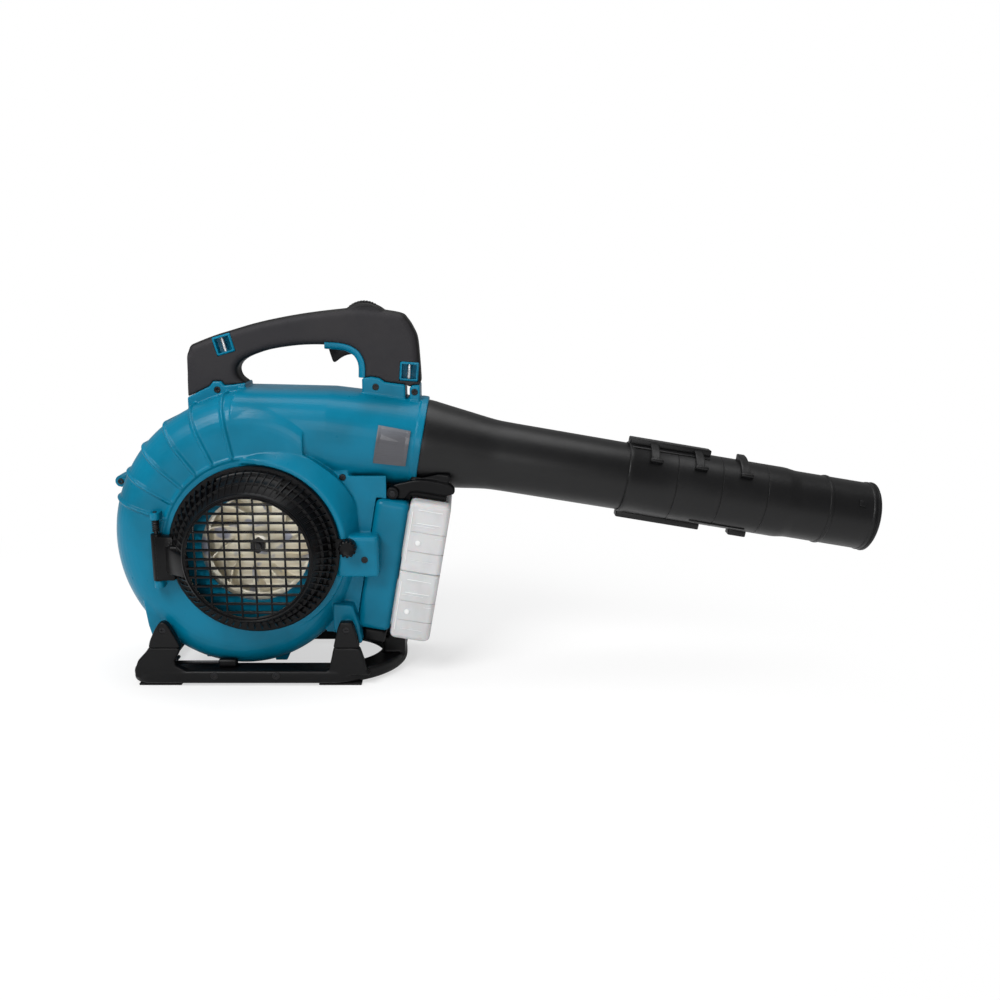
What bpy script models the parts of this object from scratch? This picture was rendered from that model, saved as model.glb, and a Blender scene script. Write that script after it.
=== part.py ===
"""Hand-held cordless blower: scroll housing, hinged intake cover, twin battery packs, telescopic nozzle, skid base.

Lengths are in metres. While modelling, X runs forward from the fan axis, Y runs across from the plane where
the two housing halves part (negative towards the intake) and Z is the height above the ground. One empty
carries everything, so that the finished part's origin lies under the middle of its outer box.
"""

import math

import bmesh
import bpy
from mathutils import Matrix, Vector

# ---------------------------------------------------------------- fits and walls
FIT = 0.0003            # gap between pieces that touch
RUNNING = 0.0006        # gap round pieces that turn or slide
WALL = 0.003            # moulded housing wall
THIN_WALL = 0.0025      # handle and nozzle wall

# ---------------------------------------------------------------- scroll housing
GROUND_GAP = 0.01262        # under the scroll's lowest point
SCROLL_TONGUE = math.radians(-15)   # direction of the smallest radius, seen from the intake side
SCROLL_RADII = (0.109, 0.123, 0.142, 0.1515, 0.1565, 0.160, 0.158, 0.122)   # every eighth of a turn
SCROLL_SIDES = 40
SCROLL_HALF_DEPTH = 0.068
SCROLL_CORNER = 0.034
CORNER_STEPS = 3
RIB_TURNS = (101.5, 114.5, 126.5, 138.5, 150, 161)   # degrees above the forward direction
RIB_WIDTH = 0.004
RIB_HEIGHT = 0.0014
RIB_INNER_RADIUS = 0.106

TONGUE_PLACE = (0.1012, 0.2186)     # forward, up
TONGUE_RADIUS = 0.0026
TONGUE_HALF_WIDTH = 0.033
INTAKE_RADIUS = 0.057
SEAT_DEPTH = 0.020
LIP_WIDTH = 0.0045
LIP_HEIGHT = 0.007
LIP_SPAN = (math.radians(2), math.radians(96))

# ---------------------------------------------------------------- outlet duct and nozzle
DUCT_TILT = math.radians(9.55)
DUCT_END = (0.17375, 0.2520)        # centre of the outlet, forward and up
DUCT_RADIUS = 0.050
DUCT_SIDES = 24
# forward, up, half height, half depth, roundness, tilt: from inside the scroll to just before the outlet
DUCT_STATIONS = (
    (-0.020, 0.2715, 0.0430, 0.0670, 3.5, 0.0),
    (0.075, 0.2670, 0.0465, 0.0625, 2.8, math.radians(5)),
    (0.1294, 0.2595, 0.0485, 0.0550, 2.3, DUCT_TILT),
)
COLLAR_LENGTH = 0.0075
COLLAR_HEIGHT = 0.0015

PIPE_SPIGOT = 0.008
PIPE_CONE = 0.078
PIPE_WAIST = (0.0425, 0.045)         # radius and distance from the outlet, halfway down the cone
PIPE_RADIUS = 0.0381
PIPE_END_RADIUS = 0.0363
NOZZLE_SIDES = 24
EXTENSION_START = 0.223
EXTENSION_END = 0.5015
EXTENSION_STEP = 0.404
PIPE_SHORTFALL = 0.034      # from the pipe's end to the extension's step
PIPE_LENGTH = EXTENSION_STEP - PIPE_SHORTFALL
EXTENSION_RADIUS = 0.0389
TIP_RADIUS = 0.0371
BEAD_HEIGHT = 0.0012
BEAD_WIDTH = 0.005
BEAD_BACK = 0.0475
RAIL_LENGTH = 0.094
RAIL_HALF_WIDTH = 0.007
RAIL_HEIGHT = 0.0060
HOOK_PLACES = (0.2455, 0.2945, 0.3445)
HOOK_TURN = math.radians(128)

# ---------------------------------------------------------------- battery bay and packs
BAY_FOOT = (0.1382, 0.0519)         # lower forward edge of the bay, forward and up
BAY_HEIGHT = 0.146
BAY_DEPTH = 0.036
BAY_HALF_WIDTH = 0.055
BAY_ROUND = 0.007
SILL_HEIGHT = 0.017
PACK_HEIGHT = 0.0775
PACK_DEPTH = 0.044
PACK_HALF_LENGTH = 0.058
PACK_ROUND = 0.007
STACK_DROP = 0.0045
HEAD_HEIGHT = 0.052
HEAD_DEPTH = 0.011
HEAD_HALF_LENGTH = 0.050
BUTTON_WIDTH = 0.030
BUTTON_HEIGHT = 0.014
BUTTON_TRAVEL = 0.003
BUTTON_DEPTH = 0.006
TERMINAL_DEPTH = 0.0035
TERMINAL_SPAN = (0.006, 0.040)      # from the head's near end
TERMINAL_HALF_HEIGHT = 0.018
TRAY_DEPTH = 0.010
TRAY_HALF_LENGTH = 0.030
TRAY_HEIGHT = 0.028

# ---------------------------------------------------------------- handle
HANDLE_HALF_WIDTH = 0.017
HANDLE_ROUND = 0.006
SADDLE_HALF_WIDTH = 0.0195
SADDLE_TOP = (
    (-0.0755, 0.3045), (-0.0510, 0.3163), (-0.0475, 0.3213), (-0.0385, 0.3213), (-0.0355, 0.3168), (-0.0130, 0.3195),
)
SHOULDER_TOP = ((0.1110, 0.3245), (0.1205, 0.3262), (0.1300, 0.3245), (0.1355, 0.3205), (0.1570, 0.3178))
LUG_TOP = ((0.1615, 0.3145), (0.1650, 0.3172), (0.1727, 0.3172))
HANDLE_BACK = (
    (0.1735, 0.3220), (0.1724, 0.3410), (0.1703, 0.3645), (0.1667, 0.3749), (0.1595, 0.3865), (0.1500, 0.3930),
    (0.1120, 0.3978), (0.0886, 0.3966), (0.0461, 0.3914), (0.0039, 0.3834), (-0.0296, 0.3740), (-0.0462, 0.3689),
    (-0.0650, 0.3617), (-0.0710, 0.3585), (-0.0740, 0.3520),
)
GRIP_REAR = ((-0.0145, 0.3200), (-0.0205, 0.3258), (-0.0220, 0.3355), (-0.0145, 0.3440))
GRIP_UNDER = ((0.0027, 0.3512), (0.0189, 0.3555), (0.0456, 0.3590), (0.0720, 0.3594))
GRIP_FRONT = ((0.0920, 0.3575), (0.1040, 0.3520), (0.1095, 0.3440), (0.1112, 0.3360))
TRIM_THICKNESS = 0.004

TRIGGER_PIVOT = (0.1120, 0.3530)
TRIGGER_HALF_WIDTH = 0.005
TRIGGER_OUTLINE = (
    (-0.0020, 0.0030), (-0.0160, 0.0055), (-0.0340, 0.0110), (-0.0365, 0.0030), (-0.0300, -0.0040),
    (-0.0240, -0.0090), (-0.0190, -0.0055), (-0.0130, -0.0030), (-0.0020, -0.0030),
)
TRIGGER_HUB = 0.0031
PIN_RADIUS = 0.0015
DIAL_CENTRE = (0.1130, 0.3813)
DIAL_RADIUS = 0.024
DIAL_HALF_WIDTH = 0.006
DIAL_TEETH = 24
SWITCH_BOX = ((0.048, 0.082), (0.3755, 0.3862))

ANCHOR_HALF_SIZE = (0.0100, 0.0100)
ANCHOR_WALL = 0.0022
ANCHOR_POCKET = 0.011
ANCHOR_PROUD = 0.0012
ANCHOR_DEPTH = 0.015
ANCHOR_REAR = (-0.0345, 0.3602, math.radians(-16))     # forward, up, lean
ANCHOR_FRONT = (0.1612, 0.3316, math.radians(4))
ANCHOR_PIN_RADIUS = 0.0021
ANCHOR_PIN_DEPTH = 0.0034

# ---------------------------------------------------------------- intake cover and its hinge
COVER_RADIUS = 0.0895
SEAT_GAP = 0.0065
SEAT_RADIUS = COVER_RADIUS + SEAT_GAP
COVER_INNER = 0.0800
COVER_BASE = 0.0075
COVER_REACH = 0.110                 # the front rim's distance from the parting plane
RIM_RADIUS = 0.067
RIM_INNER = 0.0605
RIM_DEPTH = 0.006
FIN_COUNT = 22
FIN_THICKNESS = 0.0025
GRILLE_THICKNESS = 0.0032
GRILLE_BORDER = 0.003
BAR_PITCH = 0.0095
BAR_THICKNESS = 0.0026
POST_PITCH = 0.0153
POST_THICKNESS = 0.0022
HINGE_OUT = 0.0115          # from the cover's edge to the hinge's axis
HINGE_AXIS = (-COVER_RADIUS - HINGE_OUT, -0.0755)      # forward, across
HINGE_LOW = 0.1110
HINGE_HIGH = 0.1920
HINGE_PIN_RADIUS = 0.0022
KNUCKLE_RADIUS = 0.0052
LUG_HEIGHT = 0.0075
COVER_KNUCKLE = 0.0500
SPRING_WIRE = 0.0007
SPRING_TURNS = 5
KNOB_OUT = 0.009            # from the cover's edge to the knob's axis
KNOB_PLACE = (COVER_RADIUS + KNOB_OUT, 0.1549)       # forward, up
KNOB_RADIUS = 0.0095
KNOB_LENGTH = 0.010
KNOB_TEETH = 12
EAR_RADIUS = 0.0085
EAR_THICKNESS = 0.0045
SHANK_RADIUS = 0.0022
TAB_SIZE = (KNOB_PLACE[0] - 0.0125, KNOB_PLACE[0] + 0.0315, 0.1200, 0.1645)   # low and high forward, low and high up
TAB_FACE = 0.0720
TAB_BACK = 0.0556
TAB_ROOT = (0.1100, 0.0480)         # the root's far edge and its distance from the parting plane
KNOB_DEPTH = 0.008

# ---------------------------------------------------------------- fan and motor
FAN_RADIUS = 0.084
FAN_BACK = -0.018                   # the fan's rear face
FAN_EYE = 0.055
FAN_HUB = ((0.010, 0.033), (0.014, 0.022), (0.026, 0.009), (0.060, 0.0035))   # radius, height over the fan's rear
FAN_PLATE = 0.0028
FAN_SIDES = 30
SHROUD_HEIGHTS = (0.0335, 0.0250)   # of the shroud's face at the eye and at the rim
SHROUD_THICKNESS = 0.0020
BLADE_TOPS = (0.0325, 0.0240)       # the blade's height at the eye and at the rim
BLADE_ROOT = 0.0012
BLADE_COUNT = 10
BLADE_THICKNESS = 0.0020
BLADE_INNER = 0.030
BLADE_SWEEP = math.radians(38)
BLADE_STATIONS = 3
SHAFT_RADIUS = 0.004
SHAFT_ENDS = (-0.060, 0.073)
NUT_LENGTH = 0.007
NUT_RADIUS = 0.0085
MOTOR_RADIUS = 0.0415
MOTOR_TUBE_WALL = 0.003
MOTOR_TUBE_START = 0.0060
STATOR_SPAN = (0.014, 0.056)
STATOR_INNER = 0.0215
BEARING_RADIUS = 0.011
BEARING_LENGTH = 0.007
MOUNT_RADIUS = 0.058
MOUNT_THICKNESS = 0.004
MOTOR_COVER_RADIUS = 0.062
MOTOR_COVER_CROWN = 0.050
MOTOR_COVER_REACH = 0.095
VENT_COUNT = 8
VENT_SPAN = (0.022, 0.041)
VENT_HALF_WIDTH = 0.0022

# ---------------------------------------------------------------- skid base
SKID_BACK = -0.139
SKID_FRONT = 0.154
SKID_HALF_WIDTH = 0.080
SKID_RAIL = 0.0275
SKID_LIFT = 0.0027
SKID_HEIGHT = 0.015
SKID_BACK_ROUND = 0.020
PAD_LENGTH = 0.046
PAD_WIDTH = 0.020
PAD_BACK = -0.108
PAD_FRONT = 0.086
POST_TOP = 0.0437
POST_DEPTH = 0.0105
BRACKET_TOP = 0.0725
BRACKET_DEPTH = 0.010
# forward place of the bracket's foot and head: rear, front
BRACKET_FEET = ((-0.1167, -0.0835), (0.0804, 0.1072))
BRACKET_HEADS = ((-0.1065, -0.0955), (0.0878, 0.1007))
POST_FEET = ((-0.1330, -0.1010), (0.0713, 0.1109))
ARM_OUTLINE = (
    (0.1285, 0.0120), (0.1530, 0.0120), (0.1530, 0.0400), (0.1342, 0.0400), (0.1335, 0.0350), (0.1285, 0.0357),
)
ARM_HALF_WIDTH = 0.024
BOSS_PLACES = ((-0.1010, 0.0640), (0.0943, 0.0640))
BOSS_RADIUS = 0.0065

WRENCH_RADIUS = 0.002
WRENCH_SPAN = (-0.096, -0.030)
WRENCH_ARM = 0.016
WRENCH_LINE = (-0.0660, 0.0227)     # across, up
HOLDER_SPAN = (-0.046, -0.026)
HOLDER_HALF_WIDTH = 0.0042
HOLDER_TOP = 0.0268

# ---------------------------------------------------------------- web, screws and label
WEB_FACE = 0.050
WEB_THICKNESS = 0.004
WEB_OUTLINE = ((0.050, 0.0900), (0.0700, 0.0520), (0.0990, 0.0480))
WEB_TOP = 0.2250
HEAD_RADIUS = 0.0034
HEAD_LENGTH = 0.0026
SCREW_RADIUS = 0.0016
SCREW_LENGTH = 0.013
SADDLE_SCREW = (-0.0430, 0.3125)
SHOULDER_SCREW = (0.1255, 0.3155)
LUG_SCREW = (0.1668, 0.3100)
TAB_SCREW = (0.1150, 0.1395)
CRADLE_HALF_WIDTH = 0.042
CRADLE_THICKNESS = 0.0055
CRADLE_SPAN = (-0.033, 0.038)
CRADLE_RISER = 0.004                # the step's foot, behind the bay's forward face
CRADLE_LIP_HALF_WIDTH = 0.025
CRADLE_LIP_HEIGHT = 0.030
CRADLE_LIP = 0.008
LABEL_SPAN = (0.014, 0.046)
LABEL_TURN = math.radians(21)
LABEL_LIFT = 0.0008

# ---------------------------------------------------------------- colours: red, green, blue, roughness, metallic
TEAL = (0.006, 0.205, 0.335, 0.38, 0.0)
CHARCOAL = (0.040, 0.037, 0.040, 0.55, 0.0)
BLACK = (0.012, 0.012, 0.013, 0.45, 0.0)
RUBBER = (0.015, 0.015, 0.015, 0.80, 0.0)
STEEL = (0.55, 0.55, 0.56, 0.30, 1.0)
DARK_STEEL = (0.08, 0.08, 0.085, 0.40, 1.0)
CREAM = (0.76, 0.73, 0.62, 0.50, 0.0)
COPPER = (0.62, 0.30, 0.16, 0.35, 1.0)
PACK_GREY = (0.62, 0.62, 0.63, 0.45, 0.0)
PLATE_GREY = (0.09, 0.09, 0.10, 0.40, 0.3)


# ---------------------------------------------------------------- small tools
def clear_scene():
    """Removes whatever objects the file holds."""
    for old in list(bpy.data.objects):
        bpy.data.objects.remove(old, do_unlink=True)


def collection(name):
    """A collection of this name, linked to the scene."""
    group = bpy.data.collections.new(name)
    bpy.context.scene.collection.children.link(group)
    return group


def material(name, values):
    """A Principled material from one of the colour rows above."""
    made = bpy.data.materials.get(name)
    if made is None:
        made = bpy.data.materials.new(name)
        made.use_nodes = True
        shader = made.node_tree.nodes["Principled BSDF"]
        shader.inputs["Base Color"].default_value = (*values[:3], 1.0)
        shader.inputs["Roughness"].default_value = values[3]
        shader.inputs["Metallic"].default_value = values[4]
    return made


def from_bmesh(name, bm):
    """An unlinked object that holds a bmesh's shape, with its faces pointing out."""
    bmesh.ops.recalc_face_normals(bm, faces=bm.faces)
    mesh = bpy.data.meshes.new(name)
    bm.to_mesh(mesh)
    bm.free()
    made = bpy.data.objects.new(name, mesh)
    guide(made)
    return made


def guide(item):
    """Keeps a working shape among the cutters, out of renders."""
    if GUIDES not in item.users_collection:
        GUIDES.objects.link(item)
    item.hide_render = True
    item.display_type = "WIRE"
    item.parent = ROOT


def part(item, name, colour, colour_name, origin=None):
    """Makes a working shape one of the part's pieces; origin is a point on its joint's axis, if it moves."""
    if item.modifiers:
        item = baked(item)
    GUIDES.objects.unlink(item)
    PARTS.objects.link(item)
    item.name = name
    item.data.name = name
    item.hide_render = False
    item.display_type = "TEXTURED"
    item.data.materials.clear()
    item.data.materials.append(material(colour_name, colour))
    if origin is not None:
        item.data.transform(Matrix.Translation(-Vector(origin)))
        item.location = origin
    item.data.shade_smooth()
    item.data.set_sharp_from_angle(angle=math.radians(35))
    return item


def baked(item):
    """The same shape with its modifiers made real."""
    bpy.context.view_layer.update()
    graph = bpy.context.evaluated_depsgraph_get()
    mesh = bpy.data.meshes.new_from_object(item.evaluated_get(graph))
    item.modifiers.clear()
    item.data = mesh
    return item


def combine(target, other, operation):
    """Joins, cuts or intersects one shape with another, for good."""
    change = target.modifiers.new(operation.title(), "BOOLEAN")
    change.operation = operation
    change.solver = "EXACT"
    change.object = other
    return baked(target)


def join(target, *others):
    for other in others:
        combine(target, other, "UNION")
    return target


def cut(target, *others):
    for other in others:
        combine(target, other, "DIFFERENCE")
    return target


def rounded(item, width, segments=2, angle=35):
    """Rounds the edges that turn by more than the angle."""
    change = item.modifiers.new("Bevel", "BEVEL")
    change.width = width
    change.segments = segments
    change.limit_method = "ANGLE"
    change.angle_limit = math.radians(angle)
    return baked(item)


def box(name, low, high, turn=None):
    """A block between two corners, which a matrix may then turn and move."""
    bm = bmesh.new()
    size = [high[i] - low[i] for i in range(3)]
    middle = [(high[i] + low[i]) / 2 for i in range(3)]
    place = Matrix.Translation(middle) @ Matrix.Diagonal((*size, 1.0))
    bmesh.ops.create_cube(bm, size=1.0, matrix=(turn or Matrix()) @ place)
    return from_bmesh(name, bm)


def rod(name, start, end, radius, end_radius=None, sides=20):
    """A cylinder or cone between two points."""
    start, end = Vector(start), Vector(end)
    along = end - start
    turn = along.to_track_quat("Z", "Y").to_matrix().to_4x4()
    bm = bmesh.new()
    bmesh.ops.create_cone(
        bm, cap_ends=True, segments=sides, radius1=radius, radius2=radius if end_radius is None else end_radius,
        depth=along.length, matrix=Matrix.Translation((start + end) / 2) @ turn,
    )
    return from_bmesh(name, bm)


def across(name, place, y_from, y_to, radius, sides=20):
    """A cylinder that runs across the machine at a place given forward and up."""
    return rod(name, (place[0], y_from, place[1]), (place[0], y_to, place[1]), radius, sides=sides)


def turned(name, profile, frame, sides):
    """A ring-shaped piece: a closed profile of radius and height, turned about the frame's own Z axis."""
    mesh = bpy.data.meshes.new(name)
    count = len(profile)
    mesh.from_pydata([(r, 0.0, h) for r, h in profile], [(i, (i + 1) % count) for i in range(count)], [])
    item = bpy.data.objects.new(name, mesh)
    guide(item)
    change = item.modifiers.new("Screw", "SCREW")
    change.steps = sides
    change.render_steps = sides
    change.use_merge_vertices = True
    change.merge_threshold = 0.00001
    baked(item)
    item.data.transform(frame)
    return item


def plate(name, outline, y_from, y_to):
    """A flat outline, given forward and up, with its thickness across the machine."""
    curve = bpy.data.curves.new(name, "CURVE")
    curve.dimensions = "2D"
    curve.fill_mode = "BOTH"
    curve.extrude = abs(y_to - y_from) / 2
    spline = curve.splines.new("POLY")
    spline.points.add(len(outline) - 1)
    for point, (x, z) in zip(spline.points, outline):
        point.co = (x, z, 0.0, 1.0)
    spline.use_cyclic_u = True
    drawn = bpy.data.objects.new(name, curve)
    GUIDES.objects.link(drawn)
    bpy.context.view_layer.update()
    mesh = bpy.data.meshes.new_from_object(drawn.evaluated_get(bpy.context.evaluated_depsgraph_get()))
    bpy.data.objects.remove(drawn)
    bm = bmesh.new()
    bm.from_mesh(mesh)
    bmesh.ops.remove_doubles(bm, verts=bm.verts, dist=0.000001)
    stand = Matrix.Translation((0.0, (y_from + y_to) / 2, 0.0)) @ Matrix.Rotation(math.radians(90), 4, "X")
    bmesh.ops.transform(bm, matrix=stand, verts=bm.verts)
    return from_bmesh(name, bm)


def loft(name, rings, closed=False):
    """A skin through rings of equal numbers of points, capped at both ends unless it closes on itself."""
    bm = bmesh.new()
    rows = [[bm.verts.new(point) for point in ring] for ring in rings]
    size = len(rows[0])
    spans = list(zip(rows, rows[1:]))
    if closed:
        spans.append((rows[-1], rows[0]))
    for row, following in spans:
        for i in range(size):
            j = (i + 1) % size
            bm.faces.new((row[i], row[j], following[j], following[i]))
    if not closed:
        bm.faces.new(rows[0])
        bm.faces.new(list(reversed(rows[-1])))
    return from_bmesh(name, bm)


def inset(outline, distance):
    """The outline moved inwards by a distance, whichever way round its points run."""
    count = len(outline)
    area = sum(outline[i][0] * outline[(i + 1) % count][1] - outline[(i + 1) % count][0] * outline[i][1]
               for i in range(count))
    inward = distance if area > 0 else -distance
    moved = []
    for i in range(count):
        before, here, after = Vector(outline[i - 1]), Vector(outline[i]), Vector(outline[(i + 1) % count])
        first, second = (here - before).normalized(), (after - here).normalized()
        normal_a, normal_b = Vector((-first.y, first.x)), Vector((-second.y, second.x))
        middle = (normal_a + normal_b).normalized()
        moved.append(tuple(here + middle * inward / max(middle.dot(normal_a), 0.5)))
    return moved


def offset_path(path, distance):
    """An open path moved sideways, to the right of its direction for a positive distance."""
    moved = []
    for i, here in enumerate(path):
        before = Vector(path[max(i - 1, 0)])
        after = Vector(path[min(i + 1, len(path) - 1)])
        along = (after - before).normalized()
        moved.append((here[0] + along.y * distance, here[1] - along.x * distance))
    return moved


def arc_bar(name, inner, outer, y_from, y_to, span, steps=12):
    """A bar of square section that follows an arc about the fan axis."""
    rings = []
    for i in range(steps + 1):
        angle = span[0] + (span[1] - span[0]) * i / steps
        out = Vector((math.cos(angle), 0.0, math.sin(angle)))
        centre = Vector((0.0, 0.0, FAN_HEIGHT))
        rings.append([centre + out * r + Vector((0.0, y, 0.0))
                      for r, y in ((inner, y_from), (outer, y_from), (outer, y_to), (inner, y_to))])
    return loft(name, rings)


# ---------------------------------------------------------------- shared geometry
def scroll_radius(angle):
    """The scroll's outer radius in a direction, measured up from forward and seen from the intake side."""
    turn = ((SCROLL_TONGUE - angle) / math.tau * len(SCROLL_RADII)) % len(SCROLL_RADII)
    step = int(turn)
    t = turn - step
    a, b, c, d = (SCROLL_RADII[(step + k) % len(SCROLL_RADII)] for k in (-1, 0, 1, 2))
    return 0.5 * (2 * b + (c - a) * t + (2 * a - 5 * b + 4 * c - d) * t * t + (3 * b - a - 3 * c + d) * t ** 3)


def scroll_drop():
    """How far the scroll reaches below the fan axis."""
    return max(-scroll_radius(math.radians(a)) * math.sin(math.radians(a)) for a in range(-180, 0))


FAN_HEIGHT = GROUND_GAP + scroll_drop()


def scroll_point(angle, inwards, y):
    """A point at a distance inside the scroll's outline."""
    radius = scroll_radius(angle) - inwards
    return Vector((radius * math.cos(angle), y, FAN_HEIGHT + radius * math.sin(angle)))


def scroll_solid(name, shrink):
    """The whole scroll, both halves, shrunk by a wall."""
    depth = SCROLL_HALF_DEPTH - shrink
    corner = SCROLL_CORNER - shrink
    levels = []
    for side in (-1, 1):
        arc = [math.radians(90) * i / CORNER_STEPS for i in range(CORNER_STEPS + 1)]
        for a in arc if side > 0 else reversed(arc):
            levels.append((side * (depth - corner + corner * math.sin(a)), shrink + corner * (1 - math.cos(a))))
    angles = [math.tau * i / SCROLL_SIDES for i in range(SCROLL_SIDES)]
    return loft(name, [[scroll_point(a, inwards, y) for a in angles] for y, inwards in levels])


def duct_ring(station, shrink, forward=0.0):
    """One section of the outlet duct."""
    x, z, half_height, half_depth, power, tilt = station
    ahead = Vector((math.cos(tilt), 0.0, -math.sin(tilt)))
    up = Vector((math.sin(tilt), 0.0, math.cos(tilt)))
    centre = Vector((x, 0.0, z)) + ahead * forward
    ring = []
    for i in range(DUCT_SIDES):
        angle = math.tau * i / DUCT_SIDES
        wide, high = math.cos(angle), math.sin(angle)
        wide = math.copysign(abs(wide) ** (2 / power), wide)
        high = math.copysign(abs(high) ** (2 / power), high)
        ring.append(centre + Vector((0.0, wide * (half_depth - shrink), 0.0)) + up * high * (half_height - shrink))
    return ring


def outlet_station():
    return (DUCT_END[0], DUCT_END[1], DUCT_RADIUS, DUCT_RADIUS, 2.0, DUCT_TILT)


def duct_solid(name, shrink, overrun=0.0):
    """The duct from inside the scroll to the outlet; its bore runs on past the outlet."""
    rings = [duct_ring(station, shrink) for station in DUCT_STATIONS]
    rings.append(duct_ring(outlet_station(), shrink))
    if overrun:
        rings.append(duct_ring(outlet_station(), shrink, overrun))
    return loft(name, rings)


def nozzle_frame():
    """Local Z runs along the nozzle from the outlet, and local Y points up."""
    ahead = Vector((math.cos(DUCT_TILT), 0.0, -math.sin(DUCT_TILT)))
    up = Vector((math.sin(DUCT_TILT), 0.0, math.cos(DUCT_TILT)))
    side = up.cross(ahead)
    frame = Matrix((side, up, ahead)).transposed().to_4x4()
    frame.translation = (DUCT_END[0], 0.0, DUCT_END[1])
    return frame


def bay_frame():
    """Local X runs out of the bay towards the packs and local Z climbs its forward face."""
    frame = Matrix.Rotation(DUCT_TILT, 4, "Y")
    frame.translation = (BAY_FOOT[0], 0.0, BAY_FOOT[1])
    return frame


def fan_frame(y, towards=-1):
    """Local Z lies along the fan axis, towards the intake by default."""
    frame = Matrix.Rotation(math.radians(-90 * towards), 4, "X")
    frame.translation = (0.0, y, FAN_HEIGHT)
    return frame


def half_space(name, side):
    """Everything on one side of the parting plane, to be cut away."""
    reach = 1.0
    gap = FIT / 2
    low, high = (-gap, reach) if side < 0 else (-reach, gap)
    return box(name, (-reach, low, -reach), (reach, high, reach))


# ---------------------------------------------------------------- housing
def rib(angle, side):
    """A raised rib that runs over the scroll's face and round its corner."""
    depth = SCROLL_HALF_DEPTH
    outer = scroll_radius(angle)
    path = [(RIB_INNER_RADIUS, depth, 90.0)]
    for i in range(CORNER_STEPS + 1):
        a = 90 - 90 * i / CORNER_STEPS
        path.append((outer - SCROLL_CORNER + SCROLL_CORNER * math.cos(math.radians(a)),
                     depth - SCROLL_CORNER + SCROLL_CORNER * math.sin(math.radians(a)), a))
    path.append((outer, FIT, 0.0))
    out = Vector((math.cos(angle), 0.0, math.sin(angle)))
    sideways = Vector((-math.sin(angle), 0.0, math.cos(angle)))
    rings = []
    for i, (radius, y, a) in enumerate(path):
        height = FIT if i == 0 else RIB_HEIGHT
        lift = out * math.cos(math.radians(a)) + Vector((0.0, side * math.sin(math.radians(a)), 0.0))
        base = Vector((0.0, side * y, FAN_HEIGHT)) + out * radius
        rings.append([base + sideways * w * RIB_WIDTH / 2 + lift * h
                      for w, h in ((-1, -WALL / 2), (1, -WALL / 2), (0.5, height), (-0.5, height))])
    return loft("rib", rings)


def screw_holes(host, place, face, side, head_radius=HEAD_RADIUS):
    """Cuts a screw's recess and its shank hole into a face across the machine."""
    cut(host, across("recess", place, side * (face + FIT), side * (face - HEAD_LENGTH - FIT), head_radius + FIT))
    cut(host, across("hole", place, side * face, side * (face - SCREW_LENGTH - 2 * FIT), SCREW_RADIUS + FIT, 12))


def screw(name, place, face, side):
    """A pan-head screw with a cross recess, seated in its hole."""
    head = across("head", place, side * face, side * (face - HEAD_LENGTH), HEAD_RADIUS, 16)
    shank = across("shank", place, side * (face - HEAD_LENGTH / 2), side * (face - SCREW_LENGTH), SCREW_RADIUS, 10)
    join(head, shank)
    arm = HEAD_RADIUS * 0.6
    for turn in (0, 1):
        wide, high = (arm, arm / 4) if turn else (arm / 4, arm)
        y_low, y_high = sorted((side * (face + FIT), side * (face - HEAD_LENGTH / 2)))
        cut(head, box("slot", (place[0] - wide, y_low, place[1] - high), (place[0] + wide, y_high, place[1] + high)))
    return part(head, name, DARK_STEEL, "dark_steel")


def saddle_outline():
    return [(-0.0755, 0.2780), *SADDLE_TOP, (-0.0130, 0.2900)]


def shoulder_outline():
    return [(0.1110, 0.2900), *SHOULDER_TOP, (0.1570, 0.2900)]


def lug_outline():
    return [(0.1615, 0.2800), *LUG_TOP, (0.1727, 0.2800)]


def web_outline():
    """The recessed web between the scroll, the duct and the bay."""
    frame = bay_frame()
    low = frame @ Vector((-BAY_DEPTH - FIT, 0.0, 0.0))
    high = frame @ Vector((-BAY_DEPTH - FIT, 0.0, BAY_HEIGHT))
    return [WEB_OUTLINE[0], WEB_OUTLINE[1], WEB_OUTLINE[2], (low.x, low.z), (high.x, high.z), (high.x, WEB_TOP),
            (WEB_OUTLINE[0][0], WEB_TOP)]


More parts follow.
